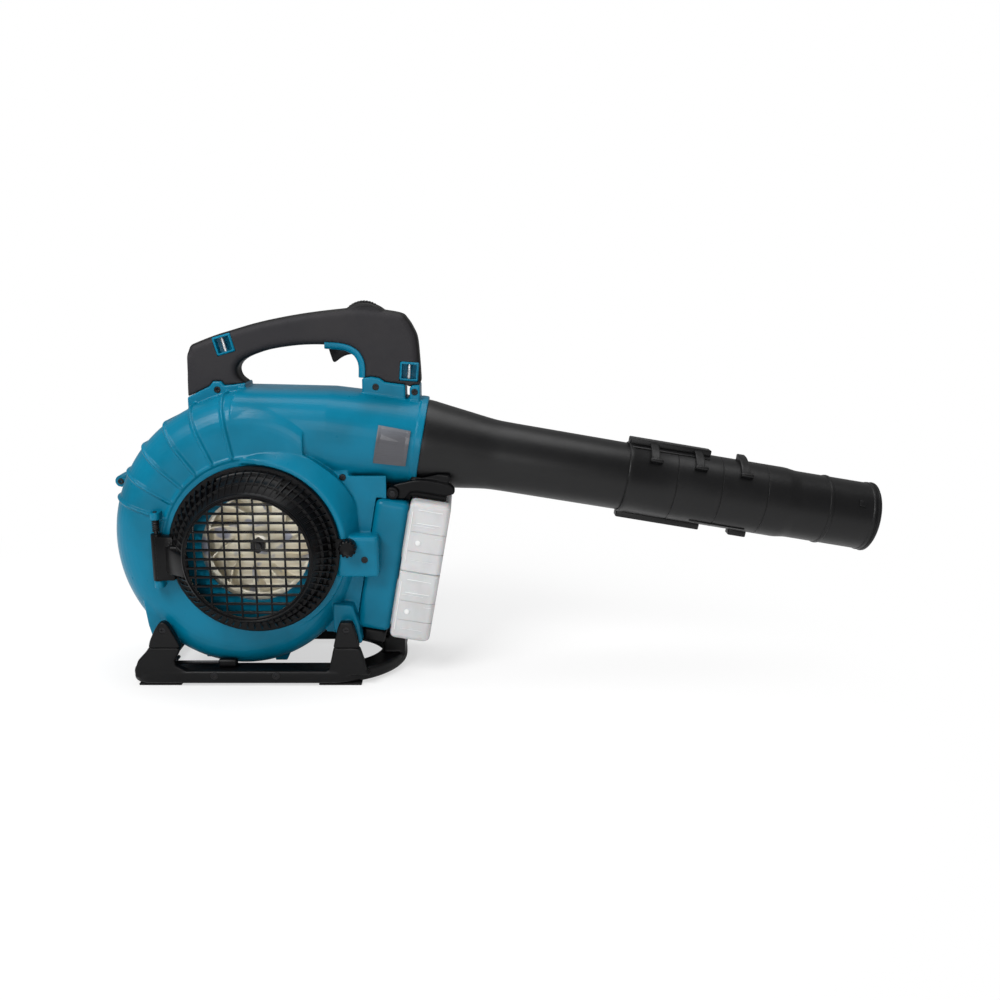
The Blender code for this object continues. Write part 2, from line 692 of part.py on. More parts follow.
def housing_half(side):
    """One half of the scroll and duct, as a shell with its mounts; side is -1 at the intake."""
    shell = scroll_solid("scroll", 0.0)
    join(shell, duct_solid("duct", 0.0))
    collar = loft("collar", [duct_ring(outlet_station(), -COLLAR_HEIGHT, -COLLAR_LENGTH),
                             duct_ring(outlet_station(), -COLLAR_HEIGHT, -FIT)])
    join(shell, collar)
    for outline in (saddle_outline(), shoulder_outline(), lug_outline()):
        join(shell, rounded(plate("mount", outline, -SADDLE_HALF_WIDTH, SADDLE_HALF_WIDTH), 0.0012, 1, 75))
    for degrees in RIB_TURNS:
        join(shell, rib(math.radians(degrees), side))
    if side < 0:
        join(shell, across("seat", (0.0, FAN_HEIGHT), -SCROLL_HALF_DEPTH, SEAT_DEPTH - SCROLL_HALF_DEPTH,
                           SEAT_RADIUS, SCROLL_SIDES))
    cut(shell, scroll_solid("chamber", WALL), duct_solid("bore", WALL, PIPE_SPIGOT))
    join(shell, across("tongue", TONGUE_PLACE, -TONGUE_HALF_WIDTH, TONGUE_HALF_WIDTH, TONGUE_RADIUS, 12))
    y_web = sorted((side * WEB_FACE, side * (WEB_FACE - WEB_THICKNESS)))
    web = plate("web", web_outline(), *y_web)
    cut(web, scroll_solid("scroll_space", WALL / 2), duct_solid("duct_space", WALL / 2))
    join(shell, web)
    for place in BOSS_PLACES:
        post = across("boss", place, side * (WEB_FACE - WEB_THICKNESS), side * (bracket_back() - FIT), BOSS_RADIUS)
        cut(post, scroll_solid("boss_space", WALL / 2))
        join(shell, post)
        cut(shell, across("boss_hole", place, side * bracket_back(), side * (WEB_FACE - WEB_THICKNESS / 2),
                          SCREW_RADIUS + FIT, 12))
    return cut(shell, half_space("other_half", side))


def bracket_back():
    """How far from the parting plane the skid's brackets meet the housing."""
    return SKID_HALF_WIDTH - BRACKET_DEPTH - FIT


def housing_right():
    """The intake half, with the cover's seat, lip, hinge lugs and lock tab."""
    shell = housing_half(-1)
    face = -SCROLL_HALF_DEPTH
    cut(shell, across("intake", (0.0, FAN_HEIGHT), face - WALL, face + SEAT_DEPTH + WALL, INTAKE_RADIUS, 36))
    lip = arc_bar("lip", SEAT_RADIUS - LIP_WIDTH, SEAT_RADIUS - FIT, face - LIP_HEIGHT, face + WALL / 2, LIP_SPAN)
    tab = box("tab", (TAB_SIZE[0], -TAB_FACE, TAB_SIZE[2]), (TAB_SIZE[1], -TAB_BACK, TAB_SIZE[3]))
    root = box("root", (TAB_SIZE[0] + WALL, -TAB_BACK - WALL, TAB_SIZE[2] + WALL),
               (TAB_ROOT[0], -TAB_ROOT[1], TAB_SIZE[3] - WALL))
    join(rounded(tab, 0.003, 2), root)
    cut(tab, scroll_solid("tab_space", WALL / 2))
    cut(lip, box("lip_end", (TAB_SIZE[0] - FIT, -1.0, TAB_SIZE[2]), (TAB_SIZE[1], 0.0, TAB_SIZE[3] + FIT)))
    join(shell, lip, tab)
    keep = across("cover_space", (0.0, FAN_HEIGHT), face - LIP_HEIGHT * 2, face, COVER_RADIUS + RUNNING * 2, 48)
    cut(shell, keep)
    for low in (HINGE_LOW, HINGE_HIGH - LUG_HEIGHT):
        knuckle = rod("knuckle", (*HINGE_AXIS, low), (*HINGE_AXIS, low + LUG_HEIGHT), KNUCKLE_RADIUS)
        foot = box("foot", (HINGE_AXIS[0] - KNUCKLE_RADIUS, HINGE_AXIS[1], low),
                   (HINGE_AXIS[0] + KNUCKLE_RADIUS, face + WALL / 2, low + LUG_HEIGHT))
        join(shell, join(knuckle, foot))
    cut(shell, rod("pin_hole", (*HINGE_AXIS, HINGE_LOW - 0.01), (*HINGE_AXIS, HINGE_HIGH + 0.01),
                   HINGE_PIN_RADIUS + FIT))
    cut(shell, across("knob_hole", KNOB_PLACE, -TAB_FACE - WALL, KNOB_DEPTH + RUNNING - TAB_FACE, SHANK_RADIUS + 2 * RUNNING))
    for place, depth in ((SADDLE_SCREW, SADDLE_HALF_WIDTH), (SHOULDER_SCREW, SADDLE_HALF_WIDTH),
                         (LUG_SCREW, SADDLE_HALF_WIDTH), (TAB_SCREW, TAB_FACE)):
        screw_holes(shell, place, depth, -1)
    part(shell, "housing_right", TEAL, "teal")


def housing_left():
    """The motor half, with the tube that holds the motor."""
    shell = housing_half(1)
    tube = turned("motor_tube", [
        (MOTOR_RADIUS + MOTOR_TUBE_WALL, SCROLL_HALF_DEPTH - MOTOR_TUBE_START - WALL / 2),
        (MOTOR_RADIUS + MOTOR_TUBE_WALL, 0.0), (MOTOR_RADIUS, 0.0),
        (MOTOR_RADIUS, SCROLL_HALF_DEPTH - MOTOR_TUBE_START - WALL / 2),
    ], fan_frame(MOTOR_TUBE_START, 1), 40)
    join(shell, tube)
    cut(shell, across("motor_mouth", (0.0, FAN_HEIGHT), SCROLL_HALF_DEPTH - 2 * WALL, SCROLL_HALF_DEPTH + WALL,
                      MOTOR_RADIUS - RUNNING, 40))
    part(shell, "housing_left", TEAL, "teal")


def screws():
    """The screws that the intake side shows."""
    for name, place, depth in (
        ("saddle_screw", SADDLE_SCREW, SADDLE_HALF_WIDTH), ("shoulder_screw", SHOULDER_SCREW, SADDLE_HALF_WIDTH),
        ("lug_screw", LUG_SCREW, SADDLE_HALF_WIDTH), ("tab_screw", TAB_SCREW, TAB_FACE),
    ):
        screw(name, place, depth - FIT, -1)


def label_plate():
    """The bare rating plate, which follows the duct's side."""
    rings = []
    for forward in (-LABEL_SPAN[1], -LABEL_SPAN[0]):
        t = -forward / math.hypot(DUCT_END[0] - DUCT_STATIONS[-1][0], DUCT_END[1] - DUCT_STATIONS[-1][1])
        half = DUCT_RADIUS + (DUCT_STATIONS[-1][3] - DUCT_RADIUS) * t
        frame = nozzle_frame()
        outer = []
        inner = []
        for i in range(7):
            angle = -LABEL_TURN + 2 * LABEL_TURN * i / 6
            out = Vector((math.cos(angle), math.sin(angle), 0.0))
            outer.append(frame @ (out * (half + 2 * FIT + LABEL_LIFT) + Vector((0.0, 0.0, forward))))
            inner.append(frame @ (out * (half + 2 * FIT) + Vector((0.0, 0.0, forward))))
        rings.append(outer + inner[::-1])
    item = loft("label", rings)
    if sum(v.co.y for v in item.data.vertices) > 0:
        item.data.transform(Matrix.Scale(-1, 4, (0.0, 1.0, 0.0)))
        item.data.flip_normals()
    part(item, "label_plate", PLATE_GREY, "plate_grey")


# ---------------------------------------------------------------- handle
def handle_outline():
    """The handle's outline, from its rear foot round the back of the hand hole and over the top."""
    rear = [(x, z + FIT) for x, z in SADDLE_TOP]
    front = [(x, z + FIT) for x, z in SHOULDER_TOP]
    lug = [(x, z + FIT) for x, z in LUG_TOP]
    return [*rear, *GRIP_REAR[1:], *GRIP_UNDER, *GRIP_FRONT, *front, lug[0], (lug[1][0], lug[1][1] + FIT),
            (lug[2][0], lug[2][1] + FIT), *HANDLE_BACK]


def anchor_frame(place):
    frame = Matrix.Rotation(place[2], 4, "Y")
    frame.translation = (place[0], 0.0, place[1])
    return frame


def handle_half(name, side):
    """One moulded half of the handle, hollow, with its cut-outs."""
    outline = handle_outline()
    inner_y, outer_y = side * FIT / 2, side * HANDLE_HALF_WIDTH
    shell = plate("half", outline, *sorted((inner_y, outer_y)))
    edge_round = HANDLE_ROUND
    bm = bmesh.new()
    bm.from_mesh(shell.data)
    rim = [e for e in bm.edges if all(abs(v.co.y - outer_y) < 1e-6 for v in e.verts) and len(e.link_faces) == 2
           and e.calc_face_angle(0.0) > math.radians(60)]
    bmesh.ops.bevel(bm, geom=rim, offset=edge_round, segments=2, affect="EDGES", profile=0.5, clamp_overlap=True)
    bm.to_mesh(shell.data)
    bm.free()
    pocket_y = sorted((-side * FIT, side * (HANDLE_HALF_WIDTH - THIN_WALL)))
    pocket = plate("pocket", inset(outline, THIN_WALL + edge_round * 0.3), *pocket_y)
    cut(shell, pocket)
    cut(shell, box("trigger_slot", (TRIGGER_PIVOT[0] - 0.040, -TRIGGER_HALF_WIDTH - RUNNING, TRIGGER_PIVOT[1] - 0.006),
                   (TRIGGER_PIVOT[0] - 0.001, TRIGGER_HALF_WIDTH + RUNNING, TRIGGER_PIVOT[1] + 0.012)))
    cut(shell, across("dial_space", DIAL_CENTRE, -DIAL_HALF_WIDTH - RUNNING, DIAL_HALF_WIDTH + RUNNING,
                      DIAL_RADIUS + 2 * RUNNING, 32))
    for place in (TRIGGER_PIVOT, DIAL_CENTRE):
        boss = across("boss", place, side * (half_width_of(place) + RUNNING), side * (HANDLE_HALF_WIDTH - 0.001),
                      PIN_RADIUS + THIN_WALL * 0.7, 16)
        join(shell, boss)
        cut(shell, across("pin_hole", place, 0.0, side * (HANDLE_HALF_WIDTH - THIN_WALL), PIN_RADIUS + FIT, 12))
    if side < 0:
        for place in (ANCHOR_REAR, ANCHOR_FRONT):
            half_x, half_z = ANCHOR_HALF_SIZE
            cut(shell, box("anchor_space", (-half_x - FIT, -HANDLE_HALF_WIDTH - 0.01, -half_z - FIT),
                           (half_x + FIT, -HANDLE_HALF_WIDTH + ANCHOR_DEPTH + FIT, half_z + FIT),
                           anchor_frame(place)))
    part(shell, name, CHARCOAL, "charcoal")


def half_width_of(place):
    return TRIGGER_HALF_WIDTH if place == TRIGGER_PIVOT else DIAL_HALF_WIDTH


def handle_trim():
    """The teal strip that lines the front of the hand hole, slotted for the trigger."""
    path = [GRIP_UNDER[-1], *GRIP_FRONT, (SHOULDER_TOP[0][0], SHOULDER_TOP[0][1] + 2 * FIT)]
    near, far = offset_path(path, FIT), offset_path(path, FIT + TRIM_THICKNESS)
    strip = plate("strip", near + far[::-1], -HANDLE_HALF_WIDTH + 0.001, HANDLE_HALF_WIDTH - 0.001)
    cut(strip, box("slot", (GRIP_UNDER[-1][0] - 0.01, -TRIGGER_HALF_WIDTH - RUNNING, GRIP_UNDER[0][1] - 0.02),
                   (GRIP_FRONT[1][0] + 0.002, TRIGGER_HALF_WIDTH + RUNNING, GRIP_UNDER[-1][1] + 0.01)))
    part(strip, "handle_trim", TEAL, "teal")


def strap_anchor(name, place):
    """A pocketed eyelet in the handle's side with a steel pin for a shoulder strap's hook."""
    frame = anchor_frame(place)
    half_x, half_z = ANCHOR_HALF_SIZE
    face = -HANDLE_HALF_WIDTH - ANCHOR_PROUD
    body = rounded(box(name, (-half_x, face, -half_z), (half_x, -HANDLE_HALF_WIDTH + ANCHOR_DEPTH, half_z), frame),
                   0.0012, 1)
    pocket = box("pocket", (-half_x + ANCHOR_WALL, face - 0.01, -half_z + ANCHOR_WALL),
                 (half_x - ANCHOR_WALL, face + ANCHOR_POCKET, half_z - ANCHOR_WALL), frame)
    middle = face + ANCHOR_PIN_DEPTH
    seat = half_z - ANCHOR_WALL / 2
    bore = rod("bore", frame @ Vector((0.0, middle, -seat)), frame @ Vector((0.0, middle, seat)),
               ANCHOR_PIN_RADIUS + FIT, sides=14)
    cut(body, pocket, bore)
    part(body, f"strap_anchor_{name}", TEAL, "teal")
    pin = rod("pin", frame @ Vector((0.0, middle, FIT - seat)), frame @ Vector((0.0, middle, seat - FIT)),
              ANCHOR_PIN_RADIUS, sides=14)
    part(pin, f"strap_pin_{name}", STEEL, "steel")


def trigger():
    """The trigger turns on a pin at the front of the hand hole."""
    outline = [(TRIGGER_PIVOT[0] + x, TRIGGER_PIVOT[1] + z) for x, z in TRIGGER_OUTLINE]
    lever = plate("lever", outline, -TRIGGER_HALF_WIDTH, TRIGGER_HALF_WIDTH)
    join(lever, across("hub", TRIGGER_PIVOT, -TRIGGER_HALF_WIDTH, TRIGGER_HALF_WIDTH, TRIGGER_HUB, 18))
    cut(lever, across("bore", TRIGGER_PIVOT, -TRIGGER_HALF_WIDTH - 0.001, TRIGGER_HALF_WIDTH + 0.001,
                      PIN_RADIUS + FIT, 12))
    part(lever, "trigger", BLACK, "black", (TRIGGER_PIVOT[0], 0.0, TRIGGER_PIVOT[1]))
    pin_end = HANDLE_HALF_WIDTH - THIN_WALL - FIT
    part(across("pin", TRIGGER_PIVOT, -pin_end, pin_end, PIN_RADIUS, 12), "trigger_pin", STEEL, "steel")


def speed_dial():
    """A toothed thumb wheel that stands out of the handle's top."""
    rings = []
    for y in (-DIAL_HALF_WIDTH, DIAL_HALF_WIDTH):
        ring = []
        for i in range(DIAL_TEETH * 2):
            angle = math.tau * i / (DIAL_TEETH * 2)
            radius = DIAL_RADIUS - (0.0012 if i % 2 else 0.0)
            ring.append((DIAL_CENTRE[0] + radius * math.cos(angle), y, DIAL_CENTRE[1] + radius * math.sin(angle)))
        rings.append(ring)
    wheel = loft("wheel", rings)
    cut(wheel, across("bore", DIAL_CENTRE, -0.01, 0.01, PIN_RADIUS + FIT, 12))
    part(wheel, "speed_dial", BLACK, "black", (DIAL_CENTRE[0], 0.0, DIAL_CENTRE[1]))
    pin_end = HANDLE_HALF_WIDTH - THIN_WALL - FIT
    part(across("pin", DIAL_CENTRE, -pin_end, pin_end, PIN_RADIUS, 12), "dial_pin", STEEL, "steel")


def switch_unit():
    """The switch body fills the handle's pocket from wall to wall above the trigger."""
    half = HANDLE_HALF_WIDTH - THIN_WALL - FIT
    (x_low, x_high), (z_low, z_high) = SWITCH_BOX
    part(box("switch", (x_low, -half, z_low), (x_high, half, z_high)), "switch_unit", CHARCOAL, "charcoal")


# ---------------------------------------------------------------- intake cover
def fin(angle):
    """One slanted louvre between the cover's base ring and its front rim."""
    out = Vector((math.cos(angle), 0.0, math.sin(angle)))
    sideways = Vector((-math.sin(angle), 0.0, math.cos(angle)))
    base_y = -SCROLL_HALF_DEPTH - COVER_BASE / 2
    front_y = -COVER_REACH + RIM_DEPTH / 2
    centre = Vector((0.0, 0.0, FAN_HEIGHT))
    rings = []
    for y, low, high in ((base_y, COVER_INNER + 0.001, COVER_RADIUS - 0.001), (front_y, RIM_INNER + 0.001,
                                                                           RIM_RADIUS - 0.001)):
        rings.append([centre + out * r + sideways * w * FIN_THICKNESS / 2 + Vector((0.0, y, 0.0))
                      for r, w in ((low, -1), (high, -1), (high, 1), (low, 1))])
    return loft("fin", rings)


def intake_cover():
    """The hinged cover: a base ring, louvres and a front rim, with its knuckle and its ear for the knob."""
    hinge = (*HINGE_AXIS, 0.0)
    base_back = -SCROLL_HALF_DEPTH - FIT
    base_front = base_back - COVER_BASE
    body = turned("base", [(COVER_RADIUS, COVER_BASE), (COVER_RADIUS, 0.0), (COVER_INNER, 0.0),
                           (COVER_INNER, COVER_BASE)], fan_frame(base_back), 44)
    rim = turned("rim", [(RIM_RADIUS, RIM_DEPTH), (RIM_RADIUS, 0.0), (RIM_INNER, 0.0), (RIM_INNER, RIM_DEPTH)],
                 fan_frame(RIM_DEPTH - COVER_REACH), 36)
    rim_body = join(rim, *[fin(math.tau * (i + 0.5) / FIN_COUNT) for i in range(FIN_COUNT)])
    join(body, rim_body)
    low = HINGE_LOW + LUG_HEIGHT + RUNNING
    knuckle = rod("knuckle", (*HINGE_AXIS, low), (*HINGE_AXIS, low + COVER_KNUCKLE), KNUCKLE_RADIUS)
    arm = box("arm", (HINGE_AXIS[0], base_front, low), (-COVER_INNER, HINGE_AXIS[1] + KNUCKLE_RADIUS * 0.6,
                                                        low + COVER_KNUCKLE))
    cut(arm, across("arm_trim", (0.0, FAN_HEIGHT), -COVER_REACH, 0.0, COVER_INNER + 0.002, 44))
    join(body, join(knuckle, arm))
    cut(body, rod("pin_hole", (*HINGE_AXIS, low - 0.01), (*HINGE_AXIS, low + COVER_KNUCKLE + 0.01),
                  HINGE_PIN_RADIUS + FIT))
    ear_back = -TAB_FACE - FIT
    ear = across("ear", KNOB_PLACE, ear_back, ear_back - EAR_THICKNESS, EAR_RADIUS)
    neck = box("neck", (COVER_RADIUS - 0.006, ear_back - EAR_THICKNESS, KNOB_PLACE[1] - EAR_RADIUS),
               (KNOB_PLACE[0], ear_back, KNOB_PLACE[1] + EAR_RADIUS))
    join(body, join(ear, neck))
    cut(body, across("ear_hole", KNOB_PLACE, ear_back + 0.001, ear_back - EAR_THICKNESS - 0.001,
                     SHANK_RADIUS + FIT))
    part(body, "intake_cover", BLACK, "black", hinge)


def intake_grille():
    """The front grille: a disc pierced by a grid of windows, seated in the cover's rim."""
    radius = RIM_INNER - FIT
    front = -COVER_REACH + 0.001
    disc = across("disc", (0.0, FAN_HEIGHT), front, front + GRILLE_THICKNESS, radius, 36)
    bm = bmesh.new()
    rows = int(radius / BAR_PITCH) + 1
    columns = int(radius / POST_PITCH) + 1
    for row in range(-rows, rows):
        for column in range(-columns, columns + 1):
            x = column * POST_PITCH
            z = FAN_HEIGHT + (row + 0.5) * BAR_PITCH
            place = Matrix.Translation((x, front + GRILLE_THICKNESS / 2, z))
            size = Matrix.Diagonal((POST_PITCH - POST_THICKNESS, GRILLE_THICKNESS * 3, BAR_PITCH - BAR_THICKNESS, 1.0))
            bmesh.ops.create_cube(bm, size=1.0, matrix=place @ size)
    windows = from_bmesh("windows", bm)
    combine(windows, across("reach", (0.0, FAN_HEIGHT), front - 0.01, front + 0.01, radius - GRILLE_BORDER, 36),
            "INTERSECT")
    cut(disc, windows)
    part(disc, "intake_grille", BLACK, "black", (*HINGE_AXIS, 0.0))


def hinge_pin():
    part(rod("pin", (*HINGE_AXIS, HINGE_LOW - 0.001), (*HINGE_AXIS, HINGE_HIGH + 0.001), HINGE_PIN_RADIUS, sides=14),
         "hinge_pin", STEEL, "steel")


def hinge_spring():
    """The coil on the hinge pin between the cover's knuckle and the upper lug."""
    low = HINGE_LOW + LUG_HEIGHT + COVER_KNUCKLE + 2 * RUNNING + SPRING_WIRE + FIT
    high = HINGE_HIGH - LUG_HEIGHT - SPRING_WIRE - FIT
    coil = HINGE_PIN_RADIUS + SPRING_WIRE + FIT
    curve = bpy.data.curves.new("spring", "CURVE")
    curve.dimensions = "3D"
    curve.bevel_depth = SPRING_WIRE
    curve.bevel_resolution = 0
    curve.use_fill_caps = True
    points = SPRING_TURNS * 9 + 1
    spline = curve.splines.new("POLY")
    spline.points.add(points - 1)
    for i, point in enumerate(spline.points):
        angle = math.tau * i / 9
        height = low + (high - low) * i / (points - 1)
        point.co = (HINGE_AXIS[0] + coil * math.cos(angle), HINGE_AXIS[1] + coil * math.sin(angle), height, 1.0)
    drawn = bpy.data.objects.new("spring", curve)
    GUIDES.objects.link(drawn)
    bpy.context.view_layer.update()
    mesh = bpy.data.meshes.new_from_object(drawn.evaluated_get(bpy.context.evaluated_depsgraph_get()))
    bpy.data.objects.remove(drawn)
    bm = bmesh.new()
    bm.from_mesh(mesh)
    bmesh.ops.remove_doubles(bm, verts=bm.verts, dist=0.000001)
    part(from_bmesh("spring", bm), "hinge_spring", STEEL, "steel")


def lock_knob():
    """A ribbed screw knob on the cover's ear; its shank enters the housing's tab."""
    back = -TAB_FACE - 2 * FIT - EAR_THICKNESS
    rings = []
    for y in (back, back - KNOB_LENGTH):
        ring = []
        for i in range(KNOB_TEETH * 4):
            angle = math.tau * i / (KNOB_TEETH * 4)
            radius = KNOB_RADIUS - (0.0012 if i % 4 in (2, 3) else 0.0)
            ring.append((KNOB_PLACE[0] + radius * math.cos(angle), y, KNOB_PLACE[1] + radius * math.sin(angle)))
        rings.append(ring)
    knob = loft("knob", rings)
    join(knob, across("shank", KNOB_PLACE, back - 0.001, KNOB_DEPTH - TAB_FACE, SHANK_RADIUS, 14))
    part(knob, "lock_knob", BLACK, "black", (KNOB_PLACE[0], back, KNOB_PLACE[1]))


# ---------------------------------------------------------------- fan and motor
def impeller():
    """The fan wheel: hub and back plate, swept blades and a front shroud."""
    frame = fan_frame(FAN_BACK)
    bore = SHAFT_RADIUS + FIT
    wheel = turned("hub", [*FAN_HUB, (FAN_RADIUS, FAN_PLATE), (FAN_RADIUS, 0.0), (bore, 0.0), (bore, FAN_HUB[0][1])],
                   frame, FAN_SIDES)
    eye_face, rim_face = SHROUD_HEIGHTS
    shroud = turned("shroud", [(FAN_EYE, eye_face), (FAN_RADIUS, rim_face), (FAN_RADIUS, rim_face - SHROUD_THICKNESS),
                               (FAN_EYE, eye_face - SHROUD_THICKNESS)], frame, FAN_SIDES)
    eye_top, rim_top = BLADE_TOPS
    for i in range(BLADE_COUNT):
        start = math.tau * i / BLADE_COUNT
        rings = []
        for k in range(BLADE_STATIONS):
            t = k / (BLADE_STATIONS - 1)
            radius = BLADE_INNER + (FAN_RADIUS - 0.001 - BLADE_INNER) * t
            angle = start + BLADE_SWEEP * t
            high = eye_top - max(0.0, radius - FAN_EYE) / (FAN_RADIUS - FAN_EYE) * (eye_top - rim_top)
            out = Vector((math.cos(angle), math.sin(angle), 0.0))
            sideways = Vector((-math.sin(angle), math.cos(angle), 0.0))
            rings.append([frame @ (out * radius + sideways * w * BLADE_THICKNESS / 2 + Vector((0.0, 0.0, h)))
                          for w, h in ((-1, BLADE_ROOT), (1, BLADE_ROOT), (1, high), (-1, high))])
        join(wheel, loft("blade", rings))
    join(wheel, shroud)
    part(wheel, "impeller", CREAM, "cream", (0.0, FAN_BACK, FAN_HEIGHT))


def motor_shaft():
    shaft = across("shaft", (0.0, FAN_HEIGHT), *SHAFT_ENDS, SHAFT_RADIUS)
    part(shaft, "motor_shaft", STEEL, "steel", (0.0, 0.0, FAN_HEIGHT))
    hub_end = FAN_BACK - FAN_HUB[0][1] - FIT
    nut = across("nut", (0.0, FAN_HEIGHT), hub_end, hub_end - NUT_LENGTH, NUT_RADIUS, 6)
    cut(nut, across("thread", (0.0, FAN_HEIGHT), hub_end + 0.001, hub_end - NUT_LENGTH - 0.001,
                    SHAFT_RADIUS + FIT))
    part(nut, "impeller_nut", DARK_STEEL, "dark_steel", (0.0, hub_end, FAN_HEIGHT))


def ring_part(name, outer, inner, y_from, y_to, colour, colour_name, sides=32, origin=None):
    """A plain ring about the fan axis."""
    length = y_to - y_from
    made = turned(name, [(outer, length), (outer, 0.0), (inner, 0.0), (inner, length)], fan_frame(y_from, 1), sides)
    return part(made, name, colour, colour_name, origin)


def mount_front():
    """The motor mount's face towards the fan, just clear of the motor tube's end."""
    return MOTOR_TUBE_START - FIT - MOUNT_THICKNESS


def motor():
    """Stator, rotor, bearings, the plate in front of the motor and the vented cover behind it."""
    ring_part("motor_stator", MOTOR_RADIUS - FIT, STATOR_INNER, *STATOR_SPAN, COPPER, "copper", 36)
    ring_part("motor_rotor", STATOR_INNER - RUNNING, SHAFT_RADIUS + FIT, *STATOR_SPAN, DARK_STEEL, "dark_steel", 30,
              (0.0, STATOR_SPAN[0], FAN_HEIGHT))
    front = mount_front()
    hub = BEARING_RADIUS + FIT
    plate_ring = turned("mount", [
        (MOUNT_RADIUS, MOUNT_THICKNESS), (MOUNT_RADIUS, 0.0), (hub, 0.0), (hub, BEARING_LENGTH),
        (hub + WALL, BEARING_LENGTH), (hub + WALL, MOUNT_THICKNESS),
    ], fan_frame(front, 1), 32)
    part(plate_ring, "motor_mount", DARK_STEEL, "dark_steel")
    bore = SHAFT_RADIUS + 0.00005
    ring_part("bearing_front", BEARING_RADIUS, bore, front, front + BEARING_LENGTH, STEEL, "steel", 24)
    rear = STATOR_SPAN[1] + 0.006
    ring_part("bearing_rear", BEARING_RADIUS, bore, rear, rear + BEARING_LENGTH, STEEL, "steel", 24)
    start = SCROLL_HALF_DEPTH + FIT
    length = MOTOR_COVER_REACH - start
    hub_start = rear - start
    cover = turned("cover", [
        (0.006, length), (MOTOR_COVER_CROWN - 0.006, length), (MOTOR_COVER_CROWN, length - 0.004),
        (MOTOR_COVER_RADIUS, 0.006), (MOTOR_COVER_RADIUS, 0.0), (MOTOR_COVER_RADIUS - WALL, 0.0),
        (MOTOR_COVER_RADIUS - WALL, 0.006), (MOTOR_COVER_CROWN - WALL, length - WALL),
        (hub + WALL, length - WALL), (hub + WALL, hub_start), (hub, hub_start),
        (hub, hub_start + BEARING_LENGTH + FIT), (0.006, hub_start + BEARING_LENGTH + FIT),
    ], fan_frame(start, 1), 32)
    for i in range(VENT_COUNT):
        turn = Matrix.Translation((0.0, 0.0, FAN_HEIGHT)) @ Matrix.Rotation(math.tau * i / VENT_COUNT, 4, "Y")
        cut(cover, box("vent", (VENT_SPAN[0], MOTOR_COVER_REACH - 3 * WALL, -VENT_HALF_WIDTH),
                       (VENT_SPAN[1], MOTOR_COVER_REACH + WALL, VENT_HALF_WIDTH), turn))
    part(cover, "motor_cover", TEAL, "teal")


# ---------------------------------------------------------------- nozzle
def nozzle_pipe():
    """The pipe: a spigot in the outlet, a cone, and the long tube that the extension slides on."""
    wall = THIN_WALL
    spigot = DUCT_RADIUS - WALL - RUNNING
    flange = DUCT_RADIUS - 0.002
    body = turned("pipe", [
        (PIPE_END_RADIUS, PIPE_LENGTH), (PIPE_RADIUS, PIPE_CONE), PIPE_WAIST, (flange - 0.0008, 0.010),
        (flange, 0.003), (flange, FIT), (spigot, FIT), (spigot, -PIPE_SPIGOT), (spigot - wall, -PIPE_SPIGOT),
        (spigot - wall, 0.006), (PIPE_WAIST[0] - wall, PIPE_WAIST[1]), (PIPE_RADIUS - wall, PIPE_CONE),
        (PIPE_END_RADIUS - wall, PIPE_LENGTH),
    ], nozzle_frame(), NOZZLE_SIDES)
    part(body, "nozzle_pipe", BLACK, "black")


def nozzle_extension():
    """The sliding extension, with its rails, hooks, step and end beads."""
    frame = nozzle_frame()
    bore = pipe_radius_at(EXTENSION_START) + RUNNING
    tip_bore = TIP_RADIUS - THIN_WALL
    seam = EXTENSION_END - BEAD_BACK
    profile = [
        (TIP_RADIUS, EXTENSION_END), (TIP_RADIUS + BEAD_HEIGHT, EXTENSION_END - 0.002),
        (TIP_RADIUS + BEAD_HEIGHT, EXTENSION_END - BEAD_WIDTH), (TIP_RADIUS, EXTENSION_END - BEAD_WIDTH - 0.002),
        (TIP_RADIUS, seam), (TIP_RADIUS + BEAD_HEIGHT * 0.7, seam - 0.0015),
        (TIP_RADIUS + BEAD_HEIGHT * 0.7, seam - 0.0035), (TIP_RADIUS, seam - BEAD_WIDTH),
        (TIP_RADIUS, EXTENSION_STEP + 0.006), (EXTENSION_RADIUS, EXTENSION_STEP),
        (EXTENSION_RADIUS, EXTENSION_START), (bore, EXTENSION_START), (bore, EXTENSION_STEP - 0.008),
        (tip_bore, EXTENSION_STEP), (tip_bore, EXTENSION_END),
    ]
    body = turned("extension", profile, frame, NOZZLE_SIDES)
    root = EXTENSION_RADIUS - THIN_WALL / 2
    top = EXTENSION_RADIUS + RAIL_HEIGHT
    for low, length, side in ((EXTENSION_START + FIT, RAIL_LENGTH, 1), (EXTENSION_START + FIT, RAIL_LENGTH, -1),
                              (EXTENSION_START + RAIL_LENGTH + 0.008, RAIL_LENGTH / 2, -1)):
        y_low, y_high = sorted((side * root, side * top))
        rail = box("rail", (-RAIL_HALF_WIDTH, y_low, low), (RAIL_HALF_WIDTH, y_high, low + length), frame)
        join(body, rounded(rail, 0.0012, 1))
    for place in HOOK_PLACES:
        turn = frame @ Matrix.Rotation(HOOK_TURN - math.radians(90), 4, "Z")
        hook = box("hook", (-0.0045, root, place), (0.0045, top - 0.0008, place + 0.009), turn)
        join(body, rounded(hook, 0.0012, 1))
    start = frame @ Vector((0.0, 0.0, EXTENSION_START))
    part(body, "nozzle_extension", BLACK, "black", tuple(start))


def pipe_radius_at(distance):
    """The pipe's outer radius at a distance from the outlet, beyond its cone."""
    t = (distance - PIPE_CONE) / (PIPE_LENGTH - PIPE_CONE)
    return PIPE_RADIUS + (PIPE_END_RADIUS - PIPE_RADIUS) * t


